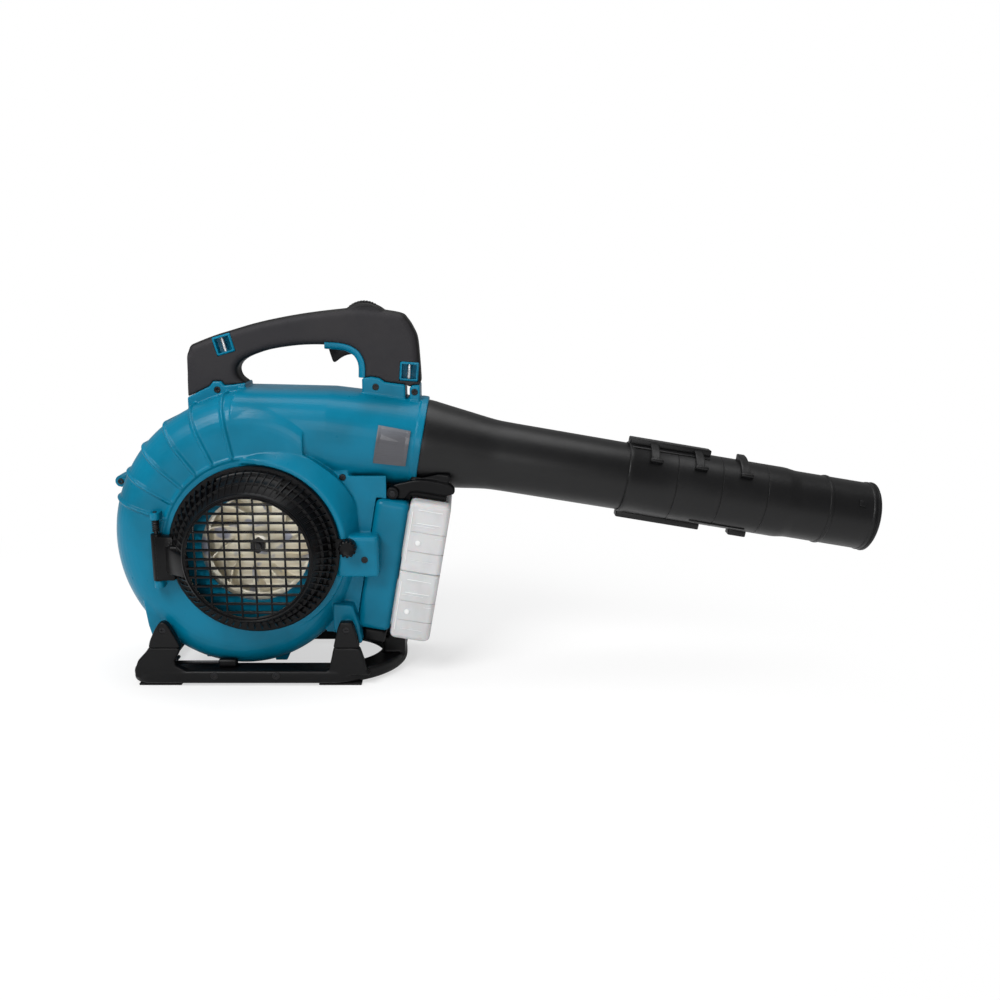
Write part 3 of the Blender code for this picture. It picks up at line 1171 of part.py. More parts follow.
def nozzle_cradle():
    """The black cradle on top of the bay, which carries the nozzle's root and is pinned to the bay."""
    frame = bay_frame()
    low, high = BAY_HEIGHT + FIT, BAY_HEIGHT + FIT + CRADLE_THICKNESS
    body = box("cradle", (CRADLE_SPAN[0], -CRADLE_HALF_WIDTH, low), (-CRADLE_RISER, CRADLE_HALF_WIDTH, high), frame)
    over = pack_low(1) + PACK_HEIGHT + RUNNING
    riser = box("riser", (-CRADLE_RISER - CRADLE_THICKNESS, -CRADLE_HALF_WIDTH, low),
                (-FIT, CRADLE_HALF_WIDTH, over + CRADLE_THICKNESS), frame)
    join(body, riser)
    front = box("front", (-CRADLE_RISER, -CRADLE_HALF_WIDTH, over),
                (CRADLE_SPAN[1], CRADLE_HALF_WIDTH, over + CRADLE_THICKNESS), frame)
    join(body, front)
    lip = box("lip", (CRADLE_SPAN[1] - CRADLE_LIP, -CRADLE_LIP_HALF_WIDTH, over + CRADLE_THICKNESS / 2),
              (CRADLE_SPAN[1], CRADLE_LIP_HALF_WIDTH, over + CRADLE_LIP_HEIGHT), frame)
    join(body, lip)
    reach = 0.080
    pipe_space = turned("pipe_space", [
        (PIPE_RADIUS, reach), (PIPE_RADIUS + 0.0075, 0.034), (DUCT_RADIUS + COLLAR_HEIGHT + FIT, 0.006),
        (DUCT_RADIUS + COLLAR_HEIGHT + FIT, -reach), (0.001, -reach), (0.001, reach),
    ], nozzle_frame(), 40)
    cut(body, pipe_space)
    part(body, "nozzle_cradle", BLACK, "black")


# ---------------------------------------------------------------- battery bay and packs
def pack_low(index):
    """The bottom of one pack, measured up the bay; 0 is the lower one."""
    return index * PACK_HEIGHT - STACK_DROP


def battery_bay():
    """The bay: a rounded block with a slot for each pack's head, open on the motor side."""
    frame = bay_frame()
    body = rounded(box("bay", (-BAY_DEPTH, -BAY_HALF_WIDTH, 0.0), (0.0, BAY_HALF_WIDTH, BAY_HEIGHT), frame),
                   BAY_ROUND, 3)
    for index in (0, 1):
        middle = pack_low(index) + PACK_HEIGHT / 2
        slot = box("slot", (-HEAD_DEPTH - FIT, -HEAD_HALF_LENGTH - FIT, middle - HEAD_HEIGHT / 2 - RUNNING),
                   (0.01, BAY_HALF_WIDTH + 0.01, middle + HEAD_HEIGHT / 2 + RUNNING), frame)
        cut(body, slot)
        seat = box("terminal_seat", (-HEAD_DEPTH - TERMINAL_DEPTH - 2 * FIT, -HEAD_HALF_LENGTH + TERMINAL_SPAN[0] - FIT,
                                     middle - TERMINAL_HALF_HEIGHT - FIT),
                   (-HEAD_DEPTH + 0.001, -HEAD_HALF_LENGTH + TERMINAL_SPAN[1] + FIT,
                    middle + TERMINAL_HALF_HEIGHT + FIT), frame)
        cut(body, seat)
    part(body, "battery_bay", TEAL, "teal")
    sill = box("sill", (-BAY_DEPTH + BAY_ROUND, -BAY_HALF_WIDTH + BAY_ROUND, -SILL_HEIGHT),
               (-BAY_ROUND * 0.5, BAY_HALF_WIDTH - BAY_ROUND, -FIT), frame)
    part(rounded(sill, 0.003, 1), "bay_sill", BLACK, "black")


def battery(index, name):
    """One pack with its head, its release button and its terminals in the bay."""
    frame = bay_frame()
    low = pack_low(index)
    middle = low + PACK_HEIGHT / 2
    body = rounded(box("pack", (FIT, -PACK_HALF_LENGTH, low + FIT), (PACK_DEPTH, PACK_HALF_LENGTH,
                                                                    low + PACK_HEIGHT - FIT), frame), PACK_ROUND, 2)
    head = box("head", (-HEAD_DEPTH, -HEAD_HALF_LENGTH, middle - HEAD_HEIGHT / 2),
               (0.005, PACK_HALF_LENGTH - PACK_ROUND, middle + HEAD_HEIGHT / 2), frame)
    join(body, head)
    button_x = PACK_DEPTH * 0.42
    recess = box("recess", (button_x - BUTTON_HEIGHT / 2 - RUNNING, PACK_HALF_LENGTH - BUTTON_DEPTH - BUTTON_TRAVEL,
                            middle - BUTTON_WIDTH / 2 - RUNNING),
                 (button_x + BUTTON_HEIGHT / 2 + RUNNING, PACK_HALF_LENGTH + 0.01, middle + BUTTON_WIDTH / 2 + RUNNING),
                 frame)
    cut(body, recess)
    origin = tuple(frame @ Vector((0.0, 0.0, middle)))
    part(body, f"battery_{name}", PACK_GREY, "pack_grey", origin)
    button = box("button", (button_x - BUTTON_HEIGHT / 2, PACK_HALF_LENGTH - BUTTON_DEPTH + FIT,
                            middle - BUTTON_WIDTH / 2),
                 (button_x + BUTTON_HEIGHT / 2, PACK_HALF_LENGTH + 0.001, middle + BUTTON_WIDTH / 2), frame)
    button_origin = tuple(frame @ Vector((button_x, PACK_HALF_LENGTH, middle)))
    part(rounded(button, 0.0012, 1), f"battery_button_{name}", CHARCOAL, "charcoal", button_origin)
    block = box("terminals", (-HEAD_DEPTH - TERMINAL_DEPTH - FIT, -HEAD_HALF_LENGTH + TERMINAL_SPAN[0],
                              middle - TERMINAL_HALF_HEIGHT),
                (-HEAD_DEPTH - FIT, -HEAD_HALF_LENGTH + TERMINAL_SPAN[1], middle + TERMINAL_HALF_HEIGHT), frame)
    part(block, f"terminal_block_{name}", CHARCOAL, "charcoal")


def control_unit():
    """The motor's control board in its potting tray, behind the web and against the bay's back."""
    frame = bay_frame()
    tray = box("tray", (-BAY_DEPTH - TRAY_DEPTH, -TRAY_HALF_LENGTH, 0.0), (-BAY_DEPTH - FIT, TRAY_HALF_LENGTH, TRAY_HEIGHT),
               frame)
    part(rounded(tray, 0.002, 1), "control_unit", PLATE_GREY, "plate_grey")


# ---------------------------------------------------------------- skid base
def skid_outline(shrink):
    """The skid's outline seen from above: rounded at the back, half round at the front."""
    half = SKID_HALF_WIDTH - shrink
    back = SKID_BACK + shrink
    centre = SKID_FRONT - SKID_HALF_WIDTH
    corner = max(SKID_BACK_ROUND - shrink / 2, 0.004)
    points = []
    for i in range(13):
        angle = math.radians(-90 + 180 * i / 12)
        points.append((centre + half * math.cos(angle), half * math.sin(angle)))
    for side in (1, -1):
        for i in range(4):
            angle = math.radians(90 + 30 * i) if side > 0 else math.radians(180 + 30 * i)
            points.append((back + corner + corner * math.cos(angle), side * (half - corner) + corner * math.sin(angle)))
    return points


def base_frame():
    """The skid: a closed loop of rail with four posts that rise to the housing's brackets."""
    low, high = SKID_LIFT, SKID_LIFT + SKID_HEIGHT
    rail = loft("rail", [[(x, y, z) for x, y in skid_outline(0.0)] for z in (low, high)])
    rounded(rail, 0.003, 2)
    cut(rail, loft("middle", [[(x, y, z) for x, y in skid_outline(SKID_RAIL)] for z in (low - 0.01, high + 0.01)]))
    for (x_low, x_high), (top_low, top_high) in zip(POST_FEET, BRACKET_FEET):
        for side in (-1, 1):
            y_from, y_to = side * (SKID_HALF_WIDTH - 0.0012), side * (SKID_HALF_WIDTH - POST_DEPTH)
            post = plate("post", ((x_low, high - 0.004), (x_high, high - 0.004), (top_high, POST_TOP),
                                  (top_low, POST_TOP)), *sorted((y_from, y_to)))
            join(rail, post)
    join(rail, rounded(plate("arm", ARM_OUTLINE, -ARM_HALF_WIDTH, ARM_HALF_WIDTH), 0.001, 1, 75))
    part(rail, "base_frame", BLACK, "black")


def base_fittings():
    """The screwed brackets over the posts, the rubber pads under the rail, and the wrench in its holder."""
    names = ("rear", "front")
    for end, feet, heads, place in zip(names, BRACKET_FEET, BRACKET_HEADS, BOSS_PLACES):
        for side, side_name in ((-1, "right"), (1, "left")):
            outline = ((feet[0], POST_TOP + FIT), (feet[1], POST_TOP + FIT), (heads[1], BRACKET_TOP),
                       (heads[0], BRACKET_TOP))
            y_from, y_to = side * SKID_HALF_WIDTH, side * (SKID_HALF_WIDTH - BRACKET_DEPTH)
            bracket = plate("bracket", outline, *sorted((y_from, y_to)))
            rounded(bracket, 0.002, 1)
            screw_holes(bracket, place, SKID_HALF_WIDTH, side)
            part(bracket, f"bracket_{end}_{side_name}", BLACK, "black")
            if side < 0:
                screw(f"bracket_screw_{end}", place, SKID_HALF_WIDTH - FIT, side)
    for end, middle in (("rear", PAD_BACK), ("front", PAD_FRONT)):
        for side, side_name in ((-1, "right"), (1, "left")):
            y_low, y_high = sorted((side * (SKID_HALF_WIDTH - 0.004), side * (SKID_HALF_WIDTH - 0.004 - PAD_WIDTH)))
            pad = box("pad", (middle - PAD_LENGTH / 2, y_low, 0.0), (middle + PAD_LENGTH / 2, y_high, SKID_LIFT - FIT))
            part(pad, f"foot_pad_{end}_{side_name}", RUBBER, "rubber")


def wrench():
    """The hex wrench that undoes the cover's screw, clipped above the rail."""
    y, z = WRENCH_LINE
    rail_top = SKID_LIFT + SKID_HEIGHT
    long_arm = rod("long", (WRENCH_SPAN[0], y, z), (WRENCH_SPAN[1], y, z), WRENCH_RADIUS, sides=6)
    short_arm = rod("short", (WRENCH_SPAN[0] + WRENCH_RADIUS, y, z), (WRENCH_SPAN[0] + WRENCH_RADIUS,
                                                                      y + WRENCH_ARM, z), WRENCH_RADIUS, sides=6)
    join(long_arm, short_arm)
    part(long_arm, "hex_wrench", DARK_STEEL, "dark_steel", (WRENCH_SPAN[0], y, z))
    block = box("holder", (HOLDER_SPAN[0], y - HOLDER_HALF_WIDTH, rail_top + FIT),
                (HOLDER_SPAN[1], y + HOLDER_HALF_WIDTH, HOLDER_TOP))
    rounded(block, 0.0015, 1)
    cut(block, rod("socket", (HOLDER_SPAN[0] - 0.01, y, z), (HOLDER_SPAN[1] + 0.01, y, z), WRENCH_RADIUS + RUNNING))
    part(block, "wrench_holder", BLACK, "black")


# ---------------------------------------------------------------- assembly
def place_root():
    """Moves the whole machine so that its origin lies under the middle of its outer box."""
    back = min(scroll_radius(a) * math.cos(a) for a in (math.tau * i / 720 for i in range(720)))
    front = nozzle_frame() @ Vector((0.0, 0.0, EXTENSION_END))
    reach = front.x + (TIP_RADIUS + BEAD_HEIGHT) * math.sin(DUCT_TILT)
    return Vector((-(back + reach) / 2, (COVER_REACH - MOTOR_COVER_REACH) / 2, 0.0))


def main():
    housing_right()
    housing_left()
    screws()
    label_plate()
    handle_half("handle_right", -1)
    handle_half("handle_left", 1)
    handle_trim()
    strap_anchor("rear", ANCHOR_REAR)
    strap_anchor("front", ANCHOR_FRONT)
    trigger()
    speed_dial()
    switch_unit()
    intake_cover()
    intake_grille()
    hinge_pin()
    hinge_spring()
    lock_knob()
    impeller()
    motor_shaft()
    motor()
    nozzle_pipe()
    nozzle_extension()
    nozzle_cradle()
    battery_bay()
    battery(0, "lower")
    battery(1, "upper")
    control_unit()
    base_frame()
    base_fittings()
    wrench()
    for leftover in list(GUIDES.objects):
        bpy.data.objects.remove(leftover)
    ROOT.location = place_root()


clear_scene()
PARTS = collection("cordless_blower")
GUIDES = collection("cutters")
ROOT = bpy.data.objects.new("machine_frame", None)
PARTS.objects.link(ROOT)
main()
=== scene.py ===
"""A hand-held cordless blower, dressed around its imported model.

Lengths are in metres. A piece is shaped with X running forward from the fan axis, Y running across from the
plane where the two housing halves part (negative towards the intake) and Z as the height above the floor.
Dresser.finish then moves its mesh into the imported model's frame, so that every object stands at the origin.
"""

import logging
import math
from contextlib import contextmanager
from dataclasses import dataclass, field
from enum import Enum
from typing import Callable, Iterator, Optional, Sequence

import bmesh
import bpy
import numpy as np
from mathutils import Matrix, Vector


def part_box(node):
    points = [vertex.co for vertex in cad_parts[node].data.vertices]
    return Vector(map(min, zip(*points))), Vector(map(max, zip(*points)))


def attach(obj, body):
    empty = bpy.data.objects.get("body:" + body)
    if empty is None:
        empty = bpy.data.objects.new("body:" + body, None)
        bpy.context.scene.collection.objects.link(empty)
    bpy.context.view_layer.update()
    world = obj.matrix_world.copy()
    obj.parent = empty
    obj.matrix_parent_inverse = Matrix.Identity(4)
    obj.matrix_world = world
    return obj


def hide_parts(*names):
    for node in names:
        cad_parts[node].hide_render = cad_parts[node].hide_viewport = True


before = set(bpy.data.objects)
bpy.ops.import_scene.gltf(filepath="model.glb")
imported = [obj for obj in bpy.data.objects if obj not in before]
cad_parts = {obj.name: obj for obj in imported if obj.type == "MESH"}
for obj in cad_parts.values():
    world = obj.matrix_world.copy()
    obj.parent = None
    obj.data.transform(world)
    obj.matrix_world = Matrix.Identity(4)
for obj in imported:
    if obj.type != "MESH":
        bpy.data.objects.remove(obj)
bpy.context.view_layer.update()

LOG = logging.getLogger("blower")

Point2 = tuple[float, float]
Colour = tuple[float, float, float, float]
Object = bpy.types.Object
Socket = bpy.types.NodeSocket

SHAFT_LOW, SHAFT_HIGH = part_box("motor_shaft")
SHAFT_MIDDLE = 0.0065       # the shaft's middle, across from the parting plane
ROOT = Vector(((SHAFT_LOW.x + SHAFT_HIGH.x) / 2, (SHAFT_LOW.y + SHAFT_HIGH.y) / 2 - SHAFT_MIDDLE, 0.0))
GAP = 0.0003                # between pieces that touch
WALL = 0.003                # moulded wall
HINGE = (-0.101, -0.0755)   # the cover's hinge axis, seen from above
HINGE_LOW = 0.111          # the lower lug's underside
HINGE_HIGH = 0.192         # the upper lug's top
HINGE_LUG = 0.0075          # each lug's height
HINGE_BORE = 0.0025         # the pin's hole
KNUCKLE = 0.05            # the cover's knuckle between the lugs
PLAY = 0.0006               # what the knuckle keeps from a lug
SCREW_RECESS = 0.0037       # the radius that a screw's head sinks into
SCREW_HOLE = 0.0019
SCREW_HEAD = 0.0033
SCREW_RISE = 0.0012         # what a head stands out, and how deep it sits


# ---------------------------------------------------------------- shader language
def srgb(code: str) -> Colour:
    """Turns a written colour into the linear one that shaders use.

    Args:
        code: six hexadecimal digits, as on a paint chart.

    Returns:
        The linear colour with full alpha.
    """
    parts = [int(code[i:i + 2], 16) / 255 for i in (0, 2, 4)]
    linear = [c / 12.92 if c <= 0.04045 else ((c + 0.055) / 1.055) ** 2.4 for c in parts]
    return (*linear, 1.0)


class Field:
    """A number that varies over a surface; the operators add Math nodes."""

    def __init__(self, surface: "Surface", socket: Socket) -> None:
        """Wraps a socket of the surface's node tree."""
        self.surface = surface
        self.socket = socket

    def _math(self, operation: str, *values: "Field | float") -> "Field":
        """Adds one Math node.

        Args:
            operation: the node's operation.
            values: its inputs in order.

        Returns:
            The result as another field.
        """
        inputs = {i: v.socket if isinstance(v, Field) else v for i, v in enumerate(values)}
        node = self.surface.node("ShaderNodeMath", {"operation": operation}, inputs)
        return Field(self.surface, node.outputs[0])

    def __add__(self, other: "Field | float") -> "Field":
        """Adds."""
        return self._math("ADD", self, other)

    __radd__ = __add__

    def __sub__(self, other: "Field | float") -> "Field":
        """Subtracts."""
        return self._math("SUBTRACT", self, other)

    def __rsub__(self, other: "Field | float") -> "Field":
        """Subtracts this from a number."""
        return self._math("SUBTRACT", other, self)

    def __mul__(self, other: "Field | float") -> "Field":
        """Multiplies."""
        return self._math("MULTIPLY", self, other)

    __rmul__ = __mul__

    def __truediv__(self, other: "Field | float") -> "Field":
        """Divides."""
        return self._math("DIVIDE", self, other)

    def __pow__(self, other: float) -> "Field":
        """Raises to a power."""
        return self._math("POWER", self, other)

    def __abs__(self) -> "Field":
        """Drops the sign."""
        return self._math("ABSOLUTE", self)

    def sine(self) -> "Field":
        """Takes the sine."""
        return self._math("SINE", self)

    def step(self, low: float, high: float) -> "Field":
        """Rises smoothly from 0 to 1 between two values."""
        node = self.surface.node("ShaderNodeMapRange", {"interpolation_type": "SMOOTHSTEP"},
                                 {"Value": self.socket, "From Min": low, "From Max": high})
        return Field(self.surface, node.outputs["Result"])


class Surface:
    """One procedural material, drawn on object coordinates."""

    def __init__(self, name: str, **constants: float) -> None:
        """Starts a material.

        Args:
            name: the finish's name.
            constants: plain values for the shader's own sockets, with spaces written as underscores.
        """
        self.material = bpy.data.materials.new(name)
        self.material.use_nodes = True
        self.tree = self.material.node_tree
        self.shader = self.tree.nodes["Principled BSDF"]
        for socket, value in constants.items():
            self.shader.inputs[socket.replace("_", " ")].default_value = value
        self.place = self.node("ShaderNodeTexCoord").outputs["Object"]

    def node(self, kind: str, settings: Optional[dict] = None, inputs: Optional[dict] = None) -> bpy.types.Node:
        """Adds a node.

        Args:
            kind: Blender's name of the node's type.
            settings: attributes to set first; "stops" is a ramp's list of position and colour.
            inputs: a value or a socket for each input, by name or number.

        Returns:
            The new node.
        """
        made = self.tree.nodes.new(kind)
        for name, value in (settings or {}).items():
            if name == "stops":
                ramp = made.color_ramp
                while len(ramp.elements) < len(value):
                    ramp.elements.new(0.5)
                for element, (position, colour) in zip(ramp.elements, value):
                    element.position = position
                    element.color = colour
            else:
                setattr(made, name, value)
        for name, value in (inputs or {}).items():
            value = value.socket if isinstance(value, Field) else value
            if isinstance(value, bpy.types.NodeSocket):
                self.tree.links.new(value, made.inputs[name])
            else:
                made.inputs[name].default_value = value
        return made

    def axis(self, index: int) -> Field:
        """One coordinate of the place on the machine, measured in the shaping frame."""
        parts = self.node("ShaderNodeSeparateXYZ", None, {0: self.place})
        return Field(self, parts.outputs[index]) - ROOT[index]

    def noise(self, size: float, detail: float = 2.0, stretch: Sequence[float] = (1, 1, 1),
              rough: float = 0.5) -> Field:
        """Cloudy noise.

        Args:
            size: the width of one patch.
            detail: how many finer layers it has.
            stretch: how much finer it is along each axis.
            rough: the strength of the finer layers.

        Returns:
            Values round one half.
        """
        mapped = self.node("ShaderNodeMapping", None, {"Vector": self.place, "Scale": tuple(stretch)})
        made = self.node("ShaderNodeTexNoise", None, {
            "Vector": mapped.outputs[0], "Scale": 1 / size, "Detail": detail, "Roughness": rough})
        return Field(self, made.outputs[0])

    def cells(self, size: float) -> Field:
        """Distance to the middle of random cells of one size, which gives a moulded grain."""
        made = self.node("ShaderNodeTexVoronoi", None, {"Vector": self.place, "Scale": 1 / size})
        return Field(self, made.outputs["Distance"])

    def mix(self, first: "Colour | Socket", second: "Colour | Socket", factor: Field) -> Socket:
        """Mixes two colours.

        Args:
            first: the colour where the factor is 0.
            second: the colour where it is 1.
            factor: the share of the second.

        Returns:
            The mixed colour's socket.
        """
        made = self.node("ShaderNodeMix", {"data_type": "RGBA"}, {"Factor": factor, 6: first, 7: second})
        return made.outputs[2]

    def finish(self, colour: "Colour | Socket", roughness: Field, height: Field, depth: float,
               metallic: Optional[Field] = None) -> bpy.types.Material:
        """Joins the surface's fields to its shader.

        Args:
            colour: the base colour.
            roughness: the roughness field.
            height: the relief, from 0 to 1.
            depth: how deep the relief is, in metres.
            metallic: where the surface is bare metal, if it varies.

        Returns:
            The finished material.
        """
        inputs = self.shader.inputs
        if isinstance(colour, bpy.types.NodeSocket):
            self.tree.links.new(colour, inputs["Base Color"])
        else:
            inputs["Base Color"].default_value = colour
        self.tree.links.new(roughness.socket, inputs["Roughness"])
        if metallic is not None:
            self.tree.links.new(metallic.socket, inputs["Metallic"])
        bump = self.node("ShaderNodeBump", None, {"Strength": 1.0, "Distance": depth, "Height": height})
        self.tree.links.new(bump.outputs[0], inputs["Normal"])
        return self.material


# ---------------------------------------------------------------- finishes
@dataclass(frozen=True)
class Moulding:
    """Moulded plastic with a fine grain, slow changes of tone and light handling scuffs."""

    name: str
    colour: str
    shade: str
    scuff: str
    roughness: float
    grain: float = 0.0006
    depth: float = 0.00006
    specular: float = 0.5
    scuffing: float = 0.35

    def material(self) -> bpy.types.Material:
        """Builds the material."""
        surface = Surface(self.name, Specular_IOR_Level=self.specular)
        cloud = surface.noise(0.06, 3.0)
        scratches = surface.noise(0.004, 4.0, (1.0, 0.35, 3.0), 0.7).step(0.66, 0.82)
        worn = scratches * surface.noise(0.03, 2.0).step(0.45, 0.75) * self.scuffing
        tone = surface.mix(srgb(self.colour), srgb(self.shade), cloud.step(0.35, 0.75))
        tone = surface.mix(tone, srgb(self.scuff), worn)
        rough = surface.noise(0.012, 3.0) * 0.12 + (self.roughness - 0.06) + worn * 0.2
        relief = surface.cells(self.grain) * 0.6 + surface.noise(self.grain * 2.5, 2.0) * 0.6 + worn * 0.3
        return surface.finish(tone, rough, relief, self.depth)


@dataclass(frozen=True)
class GripMoulding:
    """Soft-touch grip plastic: a lighter flat field inside a darker rounded rim."""

    name: str
    field_colour: str
    rim_colour: str
    dust_and_reflection: str
    rim_low: float
    rim_high: float

    def material(self) -> bpy.types.Material:
        """Builds the material."""
        surface = Surface(self.name, Specular_IOR_Level=0.22)
        flat = abs(surface.axis(1)).step(self.rim_low, self.rim_high)
        flat = flat * (1.0 - surface.axis(2).step(0.3982, 0.3992))
        cloud = surface.noise(0.045, 3.0).step(0.3, 0.8)
        tone = surface.mix(srgb(self.rim_colour), srgb(self.field_colour), flat)
        tone = surface.mix(tone, srgb(self.dust_and_reflection), cloud * 0.22 * flat)
        rough = surface.noise(0.01, 3.0) * 0.14 + 0.5 + flat * 0.08
        relief = surface.cells(0.0007) * 0.8 + surface.noise(0.0016, 2.0) * 0.4
        return surface.finish(tone, rough, relief, 0.00009)


@dataclass(frozen=True)
class Metal:
    """Turned or drawn steel with fine tool lines and a little oxide."""

    name: str
    colour: str
    oxide: str
    roughness: float
    metallic: float = 1.0

    def material(self) -> bpy.types.Material:
        """Builds the material."""
        surface = Surface(self.name, Metallic=self.metallic)
        stain = surface.noise(0.006, 4.0, rough=0.7).step(0.5, 0.72)
        lines = surface.noise(0.0012, 2.0, (0.15, 6.0, 0.15))
        tone = surface.mix(srgb(self.colour), srgb(self.oxide), stain * 0.6)
        rough = lines * 0.14 + (self.roughness - 0.07) + stain * 0.18
        return surface.finish(tone, rough, lines + stain * 0.3, 0.00003)


@dataclass(frozen=True)
class Winding:
    """Varnished copper wire, wound across the machine."""

    name: str
    colour: str
    shade: str
    pitch: float

    def material(self) -> bpy.types.Material:
        """Builds the material."""
        surface = Surface(self.name, Metallic=0.8, Coat_Weight=0.4)
        wires = (surface.axis(1) * (math.tau / self.pitch) + surface.noise(0.01, 2.0) * 3.0).sine() * 0.5 + 0.5
        tone = surface.mix(srgb(self.shade), srgb(self.colour), wires)
        return surface.finish(tone, surface.noise(0.004) * 0.2 + 0.25, wires, 0.0002)


@dataclass(frozen=True)
class GhostPack:
    """Pale, slightly clear plastic of the packs, cloudy inside."""

    name: str
    colour: str
    shade: str

    def material(self) -> bpy.types.Material:
        """Builds the material."""
        surface = Surface(self.name, Specular_IOR_Level=0.4, Subsurface_Weight=0.25, Subsurface_Scale=0.01)
        cloud = surface.noise(0.02, 3.0, (1.0, 1.0, 0.5)).step(0.35, 0.7)
        tone = surface.mix(srgb(self.colour), srgb(self.shade), cloud)
        relief = surface.cells(0.0008) * 0.5 + surface.noise(0.003, 3.0)
        return surface.finish(tone, surface.noise(0.008, 2.0) * 0.15 + 0.34, relief, 0.00005)


@dataclass(frozen=True)
class Nylon:
    """Cream nylon of the fan, with random bluish patches of painted reflection."""

    name: str
    colour: str
    shade: str
    dust_and_reflection: str

    def material(self) -> bpy.types.Material:
        """Builds the material."""
        surface = Surface(self.name, Specular_IOR_Level=0.45)
        cloud = surface.noise(0.02, 3.0).step(0.35, 0.7)
        # Random bluish patches mixed into the cream: a painted reflection.
        reflection_patch = surface.noise(0.022, 1.0).step(0.58, 0.66) * 0.75
        tone = surface.mix(srgb(self.colour), srgb(self.shade), cloud)
        tone = surface.mix(tone, srgb(self.dust_and_reflection), reflection_patch)
        relief = surface.cells(0.001) * 0.6 + surface.noise(0.002, 2.0) * 0.5
        return surface.finish(tone, cloud * 0.15 + 0.35, relief, 0.00005)


@dataclass(frozen=True)
class Foil:
    """The bare rating plate's printed foil, which is paler towards its top."""

    name: str
    colour: str
    pale: str
    low: float
    high: float

    def material(self) -> bpy.types.Material:
        """Builds the material."""
        surface = Surface(self.name, Coat_Weight=0.2)
        fade = surface.axis(2).step(self.low, self.high)
        brushed = surface.noise(0.0015, 3.0, (0.1, 1.0, 4.0))
        tone = surface.mix(srgb(self.colour), srgb(self.pale), fade * 0.6 + brushed * 0.25)
        return surface.finish(tone, brushed * 0.2 + 0.3, brushed, 0.00002)


class Finish(Enum):
    """The machine's finishes."""

    TEAL = Moulding("teal_moulding", "006581", "005870", "2f7f97", 0.3, 0.0005, 0.00004, 0.15, 0.28)
    GRIP = GripMoulding("grip_moulding", "201f22", "080708", "302d2c", 0.0125, 0.0155)
    CHARCOAL = Moulding("charcoal_moulding", "1e1d20", "171618", "3c3a3c", 0.5, 0.0007, 0.00008, 0.35)
    BLACK = Moulding("black_moulding", "070708", "040405", "1c1c1e", 0.32, 0.0006, 0.00004, 0.12, 0.2)
    NOZZLE = Moulding("nozzle_moulding", "0a0a0b", "070708", "222223", 0.38, 0.0007, 0.00006, 0.28, 0.2)
    SKID = Moulding("skid_moulding", "09090a", "060607", "262628", 0.4, 0.0009, 0.00008, 0.16, 0.25)
    RUBBER = Moulding("foot_rubber", "0e0e0e", "141414", "343230", 0.75, 0.0012, 0.0002, 0.2, 0.5)
    STEEL = Metal("bright_steel", "b9bbbd", "7d7a76", 0.28)
    DARK_STEEL = Metal("black_oxide_steel", "19191b", "2c2622", 0.4, 0.6)
    # The fan's third colour, a bluish grey, is a painted reflection.
    CREAM = Nylon("fan_nylon", "f6f0de", "e6dcc2", "8b93b4")
    COPPER = Winding("motor_winding", "b4683a", "6d3a20", 0.0011)
    PACK = GhostPack("pack_shell", "b9b9ba", "b0b0b1")
    PACK_LINE = Moulding("pack_line", "d2d2d2", "cccccc", "dcdcdc", 0.4, 0.0008, 0.00003)
    PLATE = Foil("rating_plate", "26242a", "6f747c", 0.262, 0.284)
    POTTING = Moulding("potting_resin", "6a6c6e", "5b5d5f", "85878a", 0.5)


class Palette:
    """Makes each finish's material once."""

    def __init__(self) -> None:
        """Starts with no materials."""
        self.made: dict[Finish, bpy.types.Material] = {}

    def get(self, finish: Finish) -> bpy.types.Material:
        """The finish's material."""
        if finish not in self.made:
            self.made[finish] = finish.value.material()
        return self.made[finish]


